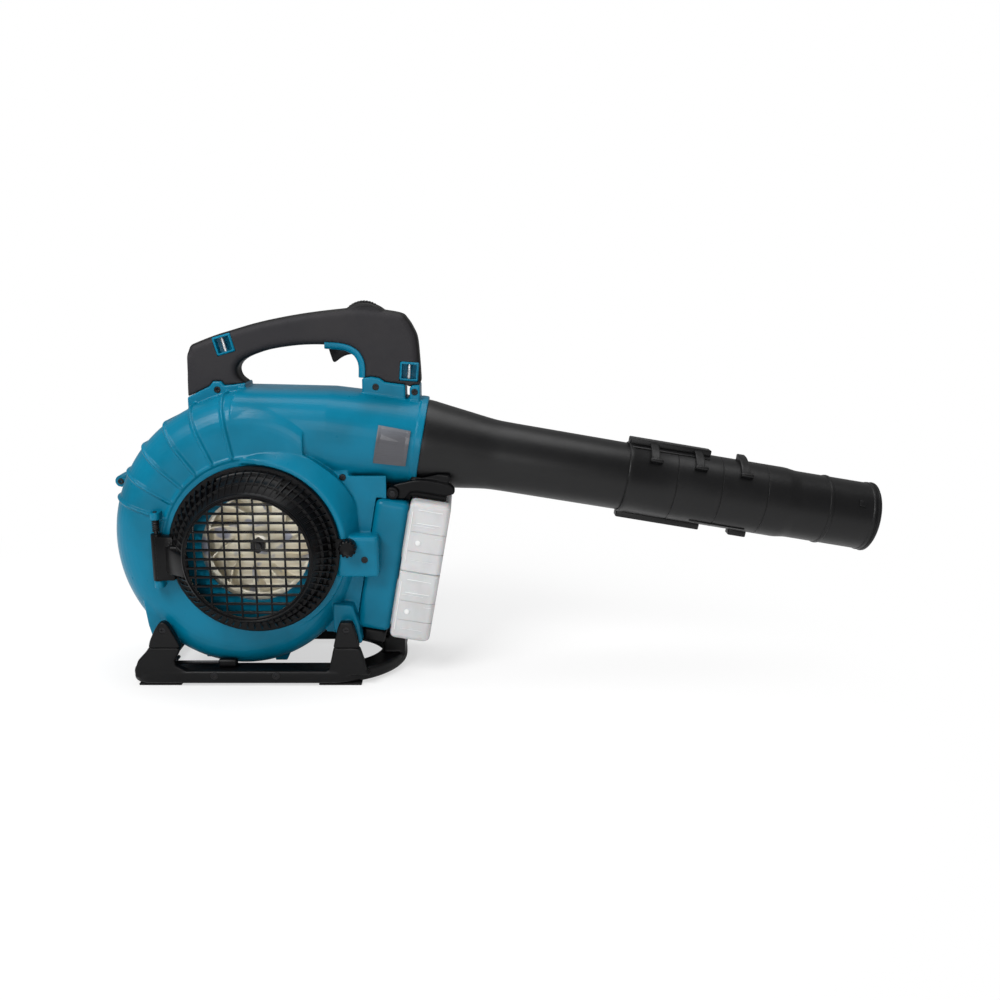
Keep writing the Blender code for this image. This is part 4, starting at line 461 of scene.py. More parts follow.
# ---------------------------------------------------------------- modelling bench
class Bench:
    """Starts and shapes work pieces with Blender's own operators."""

    @staticmethod
    def only(piece: Object) -> None:
        """Selects one piece and makes it the active one."""
        bpy.ops.object.select_all(action="DESELECT")
        piece.select_set(True)
        bpy.context.view_layer.objects.active = piece

    @staticmethod
    def begun(name: str) -> Object:
        """Names the new primitive and puts its place into its mesh."""
        piece = bpy.context.object
        piece.name = name
        piece.data.name = name
        bpy.ops.object.transform_apply(location=True, rotation=True, scale=True)
        return piece

    @staticmethod
    @contextmanager
    def editing(piece: Object) -> Iterator[bmesh.types.BMesh]:
        """Edit mode on one piece, with nothing selected at first.

        Args:
            piece: the piece to edit.

        Returns:
            The mesh in edit mode, for the time of the with block.
        """
        Bench.only(piece)
        bpy.ops.object.mode_set(mode="EDIT")
        bpy.ops.mesh.select_mode(type="VERT")
        bpy.ops.mesh.select_all(action="DESELECT")
        yield bmesh.from_edit_mesh(piece.data)
        bpy.ops.object.mode_set(mode="OBJECT")

    @staticmethod
    def weld(piece: Object, distance: float = 1e-6) -> Object:
        """Merges doubles and turns every face outwards."""
        with Bench.editing(piece):
            bpy.ops.mesh.select_all(action="SELECT")
            bpy.ops.mesh.remove_doubles(threshold=distance)
            bpy.ops.mesh.normals_make_consistent(inside=False)
        return piece

    @staticmethod
    def apply(piece: Object, kind: str, **settings: object) -> Object:
        """Adds a modifier and applies it.

        Args:
            piece: the piece to change.
            kind: the modifier's type.
            settings: the modifier's settings.

        Returns:
            The same piece.
        """
        Bench.only(piece)
        change = piece.modifiers.new(kind.title(), kind)
        for name, value in settings.items():
            setattr(change, name, value)
        bpy.ops.object.modifier_apply(modifier=change.name)
        return piece

    @staticmethod
    def combine(piece: Object, others: Sequence[Object], operation: str) -> Object:
        """Joins, cuts or intersects a piece with others, which are used up."""
        for other in others:
            Bench.apply(piece, "BOOLEAN", operation=operation, solver="EXACT", object=other)
            bpy.data.objects.remove(other)
        return piece

    @staticmethod
    def cut(piece: Object, *others: Object) -> Object:
        """Cuts others out of a piece."""
        return Bench.combine(piece, others, "DIFFERENCE")

    @staticmethod
    def fuse(piece: Object, *others: Object) -> Object:
        """Fuses others to a piece."""
        return Bench.combine(piece, others, "UNION")

    @staticmethod
    def gathered(name: str, pieces: Sequence[Object]) -> Object:
        """Makes several work pieces one object, without cutting them."""
        bpy.ops.object.select_all(action="DESELECT")
        for piece in pieces:
            piece.select_set(True)
        bpy.context.view_layer.objects.active = pieces[0]
        if len(pieces) > 1:
            bpy.ops.object.join()
        pieces[0].name = name
        pieces[0].data.name = name
        return pieces[0]

    @staticmethod
    def moulded(piece: Object, voxel: float, passes: int = 2, faces: int = 0) -> Object:
        """Melts overlapping forms into one skin with small fillets.

        Args:
            piece: closed forms that overlap.
            voxel: the skin's resolution.
            passes: how many times it is smoothed.
            faces: the most triangles to keep, or 0 for all.

        Returns:
            The same piece.
        """
        voxel = voxel
        Bench.apply(piece, "REMESH", mode="VOXEL", voxel_size=voxel, use_smooth_shade=True)
        if passes:
            Bench.apply(piece, "SMOOTH", factor=0.5, iterations=passes)
        count = len(piece.data.polygons) * 2
        if faces and count > faces:
            Bench.apply(piece, "DECIMATE", ratio=faces / count, use_collapse_triangulate=True)
        return piece

    @staticmethod
    def block(name: str, low: Sequence[float], high: Sequence[float], turn: Optional[Matrix] = None) -> Object:
        """A block between two corners, which a matrix may then place."""
        bpy.ops.object.select_all(action="DESELECT")
        bpy.ops.mesh.primitive_cube_add(
            size=1.0, location=[(a + b) / 2 for a, b in zip(low, high)], scale=[b - a for a, b in zip(low, high)])
        piece = Bench.begun(name)
        if turn is not None:
            piece.data.transform(turn)
        return piece

    @staticmethod
    def rod(name: str, start: Sequence[float], end: Sequence[float], radius: float, sides: int = 32,
            end_radius: Optional[float] = None) -> Object:
        """A cylinder or cone between two points."""
        a, b = Vector(start), Vector(end)
        along = b - a
        bpy.ops.object.select_all(action="DESELECT")
        bpy.ops.mesh.primitive_cone_add(
            vertices=sides, radius1=radius, radius2=radius if end_radius is None else end_radius,
            depth=along.length, location=(a + b) / 2, rotation=along.to_track_quat("Z", "Y").to_euler())
        return Bench.begun(name)

    @staticmethod
    def across(name: str, place: Point2, y_from: float, y_to: float, radius: float, sides: int = 32) -> Object:
        """A cylinder that runs across the machine at a place given forward and up."""
        return Bench.rod(name, (place[0], y_from, place[1]), (place[0], y_to, place[1]), radius, sides)

    @staticmethod
    def wire(name: str, outline: Sequence[Point2], y: float) -> Object:
        """A closed outline without a face, given forward and up, at a place across the machine."""
        bpy.ops.object.select_all(action="DESELECT")
        bpy.ops.mesh.primitive_circle_add(vertices=len(outline), radius=1.0, fill_type="NOTHING")
        piece = Bench.begun(name)
        for vertex, (x, z) in zip(piece.data.vertices, outline):
            vertex.co = (x, y, z)
        return piece

    @staticmethod
    def plate(name: str, outline: Sequence[Point2], y_from: float, y_to: float) -> Object:
        """A flat outline, given forward and up, filled and extruded across the machine."""
        piece = Bench.wire(name, outline, y_from)
        with Bench.editing(piece):
            bpy.ops.mesh.select_all(action="SELECT")
            bpy.ops.mesh.edge_face_add()
            bpy.ops.mesh.extrude_region_move(TRANSFORM_OT_translate={"value": (0.0, y_to - y_from, 0.0)})
            bpy.ops.mesh.select_all(action="SELECT")
            bpy.ops.mesh.normals_make_consistent(inside=False)
        return piece

    @staticmethod
    def turned(name: str, profile: Sequence[Point2], place: Matrix, steps: int) -> Object:
        """A closed profile of radius and height, spun about the place's own Z axis."""
        piece = Bench.wire(name, profile, 0.0)
        with Bench.editing(piece):
            bpy.ops.mesh.select_all(action="SELECT")
            bpy.ops.mesh.spin(steps=steps, angle=math.tau, center=(0, 0, 0), axis=(0, 0, 1))
        Bench.weld(piece)
        piece.data.transform(place)
        return piece

    @staticmethod
    def skin(name: str, rings: Sequence[Sequence[Vector]], closed: bool = False) -> Object:
        """A grid laid through rings of equal numbers of points, and closed at both ends.

        Args:
            name: the piece's name.
            rings: the rings in order.
            closed: whether the last ring joins the first.

        Returns:
            The new piece.
        """
        rings = [list(ring) + [ring[0]] for ring in rings]
        if closed:
            rings.append(rings[0])
        wide, long = len(rings[0]) - 1, len(rings) - 1
        bpy.ops.object.select_all(action="DESELECT")
        bpy.ops.mesh.primitive_grid_add(x_subdivisions=wide, y_subdivisions=long, size=1.0)
        piece = Bench.begun(name)
        points = np.array([list(point) for ring in rings for point in ring], np.float32)
        piece.data.vertices.foreach_set("co", points.ravel())
        with Bench.editing(piece):
            bpy.ops.mesh.select_all(action="SELECT")
            bpy.ops.mesh.remove_doubles(threshold=1e-6)
            if not closed:
                bpy.ops.mesh.select_all(action="SELECT")
                bpy.ops.mesh.fill_holes(sides=0)
            bpy.ops.mesh.select_all(action="SELECT")
            bpy.ops.mesh.normals_make_consistent(inside=False)
        return piece

    @staticmethod
    def swept(name: str, path: Sequence[Vector], radius: float, sides: int = 12) -> Object:
        """A round or many-sided bar along a path."""
        points = [Vector(p) for p in path]
        ahead = (points[1] - points[0]).normalized()
        side = ahead.orthogonal().normalized()
        rings = []
        for i, point in enumerate(points):
            now = (points[min(i + 1, len(points) - 1)] - points[max(i - 1, 0)]).normalized()
            side = (side - now * side.dot(now)).normalized()
            up = now.cross(side)
            rings.append([point + side * radius * math.cos(math.tau * k / sides)
                          + up * radius * math.sin(math.tau * k / sides) for k in range(sides)])
        return Bench.skin(name, rings)

    @staticmethod
    def rounded(piece: Object, width: float, segments: int = 3, angle: float = 35.0) -> Object:
        """Rounds the edges that turn by more than an angle, given in degrees."""
        return Bench.apply(piece, "BEVEL", width=width, segments=segments, limit_method="ANGLE",
                           angle_limit=math.radians(angle), use_clamp_overlap=True)

    @staticmethod
    def half(piece: Object, side: int) -> Object:
        """Keeps what is on one side of the parting plane."""
        with Bench.editing(piece):
            bpy.ops.mesh.select_all(action="SELECT")
            bpy.ops.mesh.bisect(plane_co=(0.0, side * GAP / 2, 0.0), plane_no=(0.0, 1.0, 0.0), use_fill=True,
                                clear_inner=side > 0, clear_outer=side < 0)
            bpy.ops.mesh.select_all(action="SELECT")
            bpy.ops.mesh.normals_make_consistent(inside=False)
        return piece

    @staticmethod
    def twin(piece: Object, name: str) -> Object:
        """A copy of a piece with its own mesh."""
        other = piece.copy()
        other.data = piece.data.copy()
        other.name = name
        other.data.name = name
        bpy.context.scene.collection.objects.link(other)
        return other

    @staticmethod
    def from_node(node: str, name: str) -> Object:
        """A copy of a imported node's shape, welded, in the shaping frame."""
        piece = bpy.data.objects.new(name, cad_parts[node].data.copy())
        bpy.context.scene.collection.objects.link(piece)
        piece.data.materials.clear()
        piece.data.transform(Matrix.Translation(-ROOT))
        with Bench.editing(piece):
            bpy.ops.mesh.select_all(action="SELECT")
            bpy.ops.mesh.remove_doubles(threshold=1e-6)
            bpy.ops.mesh.select_all(action="SELECT")
            bpy.ops.mesh.dissolve_limited(angle_limit=math.radians(1.0))
        return piece


class Dresser:
    """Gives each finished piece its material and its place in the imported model."""

    def __init__(self) -> None:
        """Starts with an empty palette."""
        self.palette = Palette()

    def finish(self, piece: Object, body: str, slot: str, finish: Finish, *nodes: str, angle: float = 32.0) -> Object:
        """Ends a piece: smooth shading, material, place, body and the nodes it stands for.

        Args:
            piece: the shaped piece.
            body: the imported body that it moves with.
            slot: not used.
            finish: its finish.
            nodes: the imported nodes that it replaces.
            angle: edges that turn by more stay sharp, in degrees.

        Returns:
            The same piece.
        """
        Bench.only(piece)
        bpy.ops.object.shade_smooth_by_angle(angle=math.radians(angle))
        piece.data.transform(Matrix.Translation(ROOT))
        piece.data.materials.clear()
        piece.data.materials.append(self.palette.get(finish))
        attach(piece, body)
        if nodes:
            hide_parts(*nodes)
        LOG.info("%s: %d faces on %s", piece.name, len(piece.data.polygons), body)
        return piece

    def refit(self, node: str, body: str, slot: str, finish: Finish, bevel: float = 0.0,
              segments: int = 2, angle: float = 32.0) -> Object:
        """Replaces a node by its own shape with softened edges."""
        piece = Bench.from_node(node, f"{node}_moulded")
        if bevel:
            Bench.rounded(piece, bevel, segments)
        return self.finish(piece, body, slot, finish, node, angle=angle)

    def paint(self, finish: Finish, *nodes: str) -> None:
        """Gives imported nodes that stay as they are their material."""
        for node in nodes:
            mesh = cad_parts[node].data
            mesh.materials.clear()
            mesh.materials.append(self.palette.get(finish))


def flowing(points: Sequence[Point2], steps: int = 5) -> list[Point2]:
    """A smooth path through points.

    Args:
        points: the points to pass through.
        steps: how many points to place for each span.

    Returns:
        The denser path, with the same ends.
    """
    path = [Vector(p) for p in points]
    path = [path[0] * 2 - path[1], *path, path[-1] * 2 - path[-2]]
    made = []
    for a, b, c, d in zip(path, path[1:], path[2:], path[3:]):
        for i in range(steps):
            t = i / steps
            made.append(0.5 * (2 * b + (c - a) * t + (2 * a - 5 * b + 4 * c - d) * t * t
                               + (3 * b - a - 3 * c + d) * t ** 3))
    made.append(path[-2])
    return [tuple(p) for p in made]


def inset(outline: Sequence[Point2], distance: float) -> list[Point2]:
    """The outline moved inwards by a distance, whichever way round its points run."""
    count = len(outline)
    area = sum(outline[i][0] * outline[(i + 1) % count][1] - outline[(i + 1) % count][0] * outline[i][1]
               for i in range(count))
    inward = distance if area > 0 else -distance
    moved = []
    for i in range(count):
        before, here, after = Vector(outline[i - 1]), Vector(outline[i]), Vector(outline[(i + 1) % count])
        first, second = (here - before).normalized(), (after - here).normalized()
        normal_a, normal_b = Vector((-first.y, first.x)), Vector((-second.y, second.x))
        middle = (normal_a + normal_b).normalized()
        moved.append(tuple(here + middle * inward / max(middle.dot(normal_a), 0.5)))
    return moved


# ---------------------------------------------------------------- main forms
@dataclass(frozen=True)
class Scroll:
    """The fan scroll's form."""

    fan_height: float = 0.1508
    tongue: float = math.radians(-15)
    radii: tuple[float, ...] = (0.109, 0.123, 0.142, 0.1515, 0.1565, 0.16, 0.158, 0.122)
    half_depth: float = 0.068
    corner: float = 0.034
    recess_radius: float = 0.1135
    recess_face: float = 0.0495
    recess_span: Point2 = (-18.0, 62.0)

    def radius(self, angle: float) -> float:
        """The outer radius in a direction, measured up from forward."""
        turn = ((self.tongue - angle) / math.tau * len(self.radii)) % len(self.radii)
        step = int(turn)
        t = turn - step
        a, b, c, d = (self.radii[(step + k) % len(self.radii)] for k in (-1, 0, 1, 2))
        return 0.5 * (2 * b + (c - a) * t + (2 * a - 5 * b + 4 * c - d) * t * t
                      + (3 * b - a - 3 * c + d) * t ** 3)

    def place(self, angle: float, radius: float, y: float) -> Vector:
        """A point at a radius in a direction."""
        return Vector((radius * math.cos(angle), y, self.fan_height + radius * math.sin(angle)))

    def face(self, angle: float, radius: float) -> float:
        """How far from the parting plane the side of the scroll is at a radius."""
        inwards = self.radius(angle) - radius
        if inwards >= self.corner:
            return self.half_depth
        rise = math.sqrt(max(0.0, 1 - (1 - max(inwards, 0.0) / self.corner) ** 2))
        return self.half_depth - self.corner + self.corner * rise

    def solid(self, name: str, shrink: float, around: int = 200, steps: int = 10) -> Object:
        """The scroll's solid, shrunk by a wall."""
        depth, corner = self.half_depth - shrink, self.corner - shrink
        levels = []
        for side in (-1, 1):
            arc = [math.pi / 2 * i / steps for i in range(steps + 1)]
            for a in arc if side > 0 else reversed(arc):
                levels.append((side * (depth - corner + corner * math.sin(a)), shrink + corner * (1 - math.cos(a))))
        angles = [math.tau * i / around for i in range(around)]
        body = Bench.skin(name, [[self.place(a, self.radius(a) - inwards, y) for a in angles]
                                 for y, inwards in levels])
        start, end = (math.radians(a) for a in self.recess_span)
        arc = [self.place(start + (end - start) * i / 40, self.recess_radius - shrink, 0.0) for i in range(41)]
        outline = [(p.x, p.z) for p in arc]
        outline += [(outline[-1][0], 0.352), (0.1738, 0.352), (0.1738, outline[0][1])]
        for side in (-1, 1):
            Bench.cut(body, Bench.plate("recess", outline, side * (self.recess_face - shrink), side * 0.071))
        return body


@dataclass(frozen=True)
class Duct:
    """The outlet duct's form: forward, up, half height, half depth, roundness and tilt of each station."""

    stations: tuple[tuple[float, ...], ...] = (
        (-0.02, 0.2715, 0.043, 0.067, 3.5, 0.0),
        (0.075, 0.267, 0.0465, 0.0625, 2.8, math.radians(5)),
        (0.1294, 0.2595, 0.0485, 0.055, 2.3, math.radians(9.55)),
        (0.17375, 0.252, 0.05, 0.05, 2.0, math.radians(9.55)),
    )
    sides: int = 72

    @property
    def tilt(self) -> float:
        """How far the outlet points down."""
        return self.stations[-1][5]

    @property
    def radius(self) -> float:
        """The outlet's radius."""
        return self.stations[-1][2]

    def frame(self) -> Matrix:
        """Local Z runs along the nozzle from the outlet, and local Y points up."""
        x, z = self.stations[-1][:2]
        ahead = Vector((math.cos(self.tilt), 0.0, -math.sin(self.tilt)))
        up = Vector((math.sin(self.tilt), 0.0, math.cos(self.tilt)))
        place = Matrix((up.cross(ahead), up, ahead)).transposed().to_4x4()
        place.translation = (x, 0.0, z)
        return place

    def ring(self, station: Sequence[float], shrink: float, forward: float = 0.0) -> list[Vector]:
        """One section of the duct, moved forward along its own axis."""
        x, z, half_height, half_depth, power, tilt = station
        ahead = Vector((math.cos(tilt), 0.0, -math.sin(tilt)))
        up = Vector((math.sin(tilt), 0.0, math.cos(tilt)))
        centre = Vector((x, 0.0, z)) + ahead * forward
        ring = []
        for i in range(self.sides):
            angle = math.tau * i / self.sides
            wide, high = math.cos(angle), math.sin(angle)
            wide = math.copysign(abs(wide) ** (2 / power), wide)
            high = math.copysign(abs(high) ** (2 / power), high)
            ring.append(centre + Vector((0.0, wide * (half_depth - shrink), 0.0)) + up * high * (half_height - shrink))
        return ring

    def solid(self, name: str, shrink: float, overrun: float = 0.0, steps: int = 10) -> Object:
        """The duct from inside the scroll to the outlet."""
        rings = []
        for first, second in zip(self.stations, self.stations[1:]):
            for i in range(steps):
                t = i / steps
                rings.append(self.ring([a + (b - a) * t for a, b in zip(first, second)], shrink))
        rings.append(self.ring(self.stations[-1], shrink))
        if overrun:
            rings.append(self.ring(self.stations[-1], shrink, overrun))
        return Bench.skin(name, rings)


@dataclass(frozen=True)
class Bay:
    """The battery bay's form: its foot, its tilt and its size."""

    foot: Point2 = (0.1382, 0.0519)
    tilt: float = math.radians(9.55)
    height: float = 0.146
    depth: float = 0.036
    half_width: float = 0.055

    def frame(self) -> Matrix:
        """Local X runs out of the bay towards the packs, and local Z climbs its forward face."""
        place = Matrix.Rotation(self.tilt, 4, "Y")
        place.translation = (self.foot[0], 0.0, self.foot[1])
        return place


def fan_frame(scroll: Scroll, y: float, towards: int = -1) -> Matrix:
    """Local Z lies along the fan axis, towards the intake by default."""
    place = Matrix.Rotation(math.radians(-90 * towards), 4, "X")
    place.translation = (0.0, y, scroll.fan_height)
    return place


# ---------------------------------------------------------------- housing
@dataclass
class Housing:
    """The two moulded halves of the scroll and duct, with their mounts, ribs, lip, tab and legs."""

    dresser: Dresser
    scroll: Scroll = field(default_factory=Scroll)
    duct: Duct = field(default_factory=Duct)
    bay: Bay = field(default_factory=Bay)
    voxel: float = 0.001
    mount_half_width: float = 0.0195
    saddle: tuple[Point2, ...] = ((-0.0755, 0.278), (-0.0755, 0.3045), (-0.051, 0.3163), (-0.0475, 0.3213),
                                  (-0.0385, 0.3213), (-0.0355, 0.3168), (-0.013, 0.3195), (-0.013, 0.29))
    shoulder: tuple[Point2, ...] = ((0.111, 0.29), (0.111, 0.3245), (0.1205, 0.3262), (0.13, 0.3245),
                                    (0.1355, 0.3205), (0.157, 0.3178), (0.157, 0.29))
    lug: tuple[Point2, ...] = ((0.1615, 0.28), (0.1615, 0.3145), (0.165, 0.3172), (0.1727, 0.3172),
                               (0.1727, 0.28))
    rib_turns: tuple[float, ...] = (101.5, 114.5, 126.5, 138.5, 150, 161)
    rib_width: float = 0.0036
    rib_height: float = 0.0027
    rib_start: float = 0.0985
    seat_radius: float = 0.096
    seat_depth: float = 0.02
    intake_radius: float = 0.057
    lip_inner: float = 0.0915
    lip_outer: float = 0.0957
    lip_reach: float = 0.075
    web_face: float = 0.05
    web_thickness: float = 0.004
    bracket_back: float = 0.0697
    boss_places: tuple[Point2, ...] = ((-0.101, 0.064), (0.0943, 0.064))
    screw_places: tuple[tuple[float, float, float], ...] = (
        (-0.043, 0.3125, 0.0195), (0.1255, 0.3155, 0.0195), (0.1668, 0.31, 0.0195), (0.115, 0.1395, 0.072),
        (0.0915, 0.2238, 0.05))
    knob_place: Point2 = (0.0985, 0.1549)
    tongue: tuple[float, float, float] = (0.1012, 0.2186, 0.033)

    def rib(self, angle: float, side: int) -> Object:
        """A raised rib that runs over the scroll's side and round its corner."""
        scroll = self.scroll
        outer = scroll.radius(angle)
        path = [(self.rib_start, scroll.half_depth, 90.0)]
        for i in range(13):
            a = 90 - 7.5 * i
            path.append((outer - scroll.corner + scroll.corner * math.cos(math.radians(a)),
                         scroll.half_depth - scroll.corner + scroll.corner * math.sin(math.radians(a)), a))
        path.append((outer, 0.0, 0.0))
        out = Vector((math.cos(angle), 0.0, math.sin(angle)))
        sideways = Vector((-math.sin(angle), 0.0, math.cos(angle)))
        section = [(math.cos(math.radians(a)), math.sin(math.radians(a))) for a in range(0, 181, 20)]
        rings = []
        for radius, y, a in path:
            lift = out * math.cos(math.radians(a)) + Vector((0.0, side * math.sin(math.radians(a)), 0.0))
            base = Vector((0.0, side * y, scroll.fan_height)) + out * radius
            ring = [base + sideways * w * self.rib_width / 2 + lift * h * self.rib_height for w, h in section]
            ring += [base - sideways * self.rib_width / 2 - lift * WALL / 2,
                     base + sideways * self.rib_width / 2 - lift * WALL / 2]
            rings.append(ring)
        return Bench.skin("rib", rings)

    def crescent(self) -> Object:
        """The raised lip beside the cover, whose outer flank falls to the scroll's side."""
        rings = []
        for i in range(61):
            degrees = -2 + 100 * i / 60
            angle = math.radians(degrees)
            width = 0.0005 + 0.0185 * max(0.0, math.sin(math.pi * (98.5 - degrees) / 125))
            fade = min(1.0, (98 - degrees) / 12 + 0.05)
            top = self.scroll.half_depth + (self.lip_reach - self.scroll.half_depth) * fade
            flank = self.scroll.face(angle, self.lip_outer + width)
            section = ((self.lip_inner, self.scroll.half_depth - WALL), (self.lip_inner, top),
                       (self.lip_outer - 0.0008, top + 0.0004 * fade), (self.lip_outer + 0.0012, top - 0.0004),
                       (self.lip_outer + width, flank + 0.0003), (self.lip_outer + width, flank - WALL))
            rings.append([self.scroll.place(angle, r, -y) for r, y in section])
        return Bench.skin("crescent", rings)

    def web(self, side: int) -> Object:
        """The recessed web between the scroll, the duct and the bay."""
        place = self.bay.frame()
        low = place @ Vector((-self.bay.depth - GAP, 0.0, 0.0))
        high = place @ Vector((-self.bay.depth - GAP, 0.0, self.bay.height + GAP))
        over = place @ Vector((0.0104 - self.bay.depth, 0.0, self.bay.height + GAP))
        outline = [(0.05, 0.09), (0.07, 0.052), (0.099, 0.048), (low.x, low.z), (high.x, high.z),
                   (over.x, over.z), (over.x, 0.225), (0.05, 0.225)]
        return Bench.plate("web", outline, side * self.web_face, side * (self.web_face - self.web_thickness))

    def legs(self) -> list[Object]:
        """The gussets behind the brackets, the small legs under the scroll and the rear boss."""
        made = []
        for side in (-1, 1):
            rear = ((-0.121, 0.1), (-0.124, 0.09), (-0.1205, 0.064), (-0.115, 0.043), (-0.09, 0.043),
                    (-0.082, 0.076), (-0.095, 0.1))
            front = ((0.079, 0.088), (0.1, 0.086), (0.106, 0.066), (0.1095, 0.043), (0.087, 0.043),
                     (0.079, 0.06))
            for outline in (rear, front):
                made.append(Bench.rounded(Bench.plate("gusset", outline, side * 0.03, side * 0.064), 0.002, 2, 60))
            for outline in (((-0.076, 0.04), (-0.069, 0.014), (-0.0625, 0.013), (-0.056, 0.03)),
                            ((0.001, 0.03), (0.008, 0.0095), (0.0205, 0.0095), (0.03, 0.03))):
                made.append(Bench.plate("leg", outline, side * 0.016, side * 0.028))
        made.append(Bench.across("rear_boss", (-0.156, 0.2115), -0.012, 0.012, 0.0065))
        made.append(Bench.plate("rear_boss_root", ((-0.159, 0.206), (-0.152, 0.218), (-0.13, 0.212),
                                                   (-0.136, 0.198)), -0.006, 0.006))
        return made

    def blank(self) -> Object:
        """Both halves' outer form, melted together before they are hollowed."""
        scroll, duct = self.scroll, self.duct
        forms = [scroll.solid("housing", 0.0), duct.solid("duct", 0.0)]
        forms.append(Bench.skin("collar", [duct.ring(duct.stations[-1], -0.0015, -0.0075),
                                           duct.ring(duct.stations[-1], -0.0015, -GAP)]))
        for outline in (self.saddle, self.shoulder, self.lug):
            mount = Bench.plate("mount", outline, -self.mount_half_width, self.mount_half_width)
            forms.append(Bench.rounded(mount, 0.0014, 2, 60))
        for side in (-1, 1):
            forms += [self.rib(math.radians(turn), side) for turn in self.rib_turns]
            forms.append(self.web(side))
            for place in self.boss_places:
                forms.append(Bench.across("boss", place, side * (self.web_face - self.web_thickness),
                                          side * (self.bracket_back - GAP), 0.0055))
        forms.append(Bench.across("seat", (0.0, scroll.fan_height), -scroll.half_depth,
                                  self.seat_depth - scroll.half_depth, self.seat_radius, 120))
        ring = Bench.turned("seat_ring", [(self.rib_start - 0.0035, 0.0), (self.rib_start - 0.002, 0.0014),
                                          (self.rib_start, 0.0014), (self.rib_start + 0.0015, 0.0),
                                          (self.rib_start + 0.0015, -WALL), (self.rib_start - 0.0035, -WALL)],
                            fan_frame(scroll, -scroll.half_depth), 120)
        forms.append(Bench.cut(ring, Bench.block("ring_rest", (-0.2, -0.2, 0.0), (0.2, 0.0, 0.155)),
                               Bench.block("ring_front", (0.005, -0.2, 0.1), (0.2, 0.0, 0.4))))
        forms.append(self.crescent())
        tab = Bench.block("tab", (0.086, -0.072, 0.12), (0.13, -0.05, 0.1645))
        forms.append(Bench.rounded(tab, 0.0042, 4, 60))
        forms += self.legs()
        whole = Bench.gathered("housing", forms)
        return Bench.moulded(whole, self.voxel, 1, 360000)

    def hollow(self, shell: Object, side: int) -> Object:
        """Hollows one half and cuts its holes."""
        scroll, duct = self.scroll, self.duct
        chamber = scroll.solid("chamber", WALL, 120, 8)
        if side < 0:
            intake = Bench.across("intake", (0.0, scroll.fan_height), -0.1, self.seat_depth - 0.06,
                                  self.intake_radius, 96)
            Bench.cut(shell, intake)
        else:
            mouth = Bench.across("motor_mouth", (0.0, scroll.fan_height), 0.06, 0.08, 0.0409, 72)
            Bench.cut(shell, mouth)
        Bench.cut(shell, chamber, duct.solid("bore", WALL, 0.008, 6))
        for x, z, face in self.screw_places:
            if side < 0:
                Bench.cut(shell, Bench.across("recess", (x, z), side * (face + 0.003), side * (face - 0.0032),
                                              SCREW_RECESS, 24))
                Bench.cut(shell, Bench.across("hole", (x, z), side * face, side * (face - 0.0136), SCREW_HOLE, 16))
        if side < 0:
            Bench.cut(shell, Bench.across("knob_hole", self.knob_place, -0.08, -0.0634, 0.0034, 24))
            lugs = []
            for start in (HINGE_LOW, HINGE_HIGH - HINGE_LUG):
                knuckle = Bench.rod("knuckle", (*HINGE, start), (*HINGE, start + HINGE_LUG), 0.0052, 28)
                foot = Bench.block("foot", (HINGE[0] - 0.0052, HINGE[1], start),
                                   (HINGE[0] + 0.0052, -scroll.half_depth + 0.0015, start + HINGE_LUG))
                lugs.append(Bench.rounded(Bench.fuse(knuckle, foot), 0.0007, 2, 50))
            Bench.fuse(shell, *lugs)
            Bench.cut(shell, Bench.rod("pin_hole", (*HINGE, HINGE_LOW - 0.01), (*HINGE, HINGE_HIGH + 0.01),
                                       HINGE_BORE, 20))
        else:
            tube = Bench.turned("motor_tube", [(0.0445, 0.061), (0.0445, 0.0), (0.0415, 0.0), (0.0415, 0.061)],
                                fan_frame(scroll, 0.006, 1), 72)
            Bench.fuse(shell, tube)
        tongue = Bench.across("tongue", self.tongue[:2], side * GAP / 2, side * self.tongue[2], 0.0026, 20)
        return Bench.fuse(shell, tongue)

    def build(self) -> None:
        """Makes both halves."""
        whole = self.blank()
        for side, name in ((-1, "right"), (1, "left")):
            shell = Bench.half(Bench.twin(whole, f"housing_{name}_moulded"), side)
            self.hollow(shell, side)
            self.dresser.finish(shell, "blower", "teal", Finish.TEAL, f"housing_{name}", angle=28)
        bpy.data.objects.remove(whole)

    def fittings(self) -> None:
        """The screws, the bare rating plate and the motor's cover."""
        for node in ("saddle_screw", "shoulder_screw", "lug_screw", "tab_screw"):
            self.dresser.refit(node, "blower", "dark_steel", Finish.DARK_STEEL, 0.0003)
        for name, (x, z), face in (("web_screw", (0.0915, 0.2238), 0.05), ("cradle_screw", (0.1437, 0.2062), 0.0497),
                                   ("rear_boss_screw", (-0.156, 0.2115), 0.012)):
            head = Bench.rounded(Bench.across(name, (x, z), -face + SCREW_RISE, -face - SCREW_RISE, SCREW_HEAD, 28),
                                 0.0006, 2)
            for wide, high in ((0.0019, 0.0005), (0.0005, 0.0019)):
                Bench.cut(head, Bench.block("slot", (x - wide, -face - 0.002, z - high), (x + wide, -face, z + high)))
            self.dresser.finish(head, "blower", "dark_steel", Finish.DARK_STEEL)
        self.label()
        self.motor_cover()

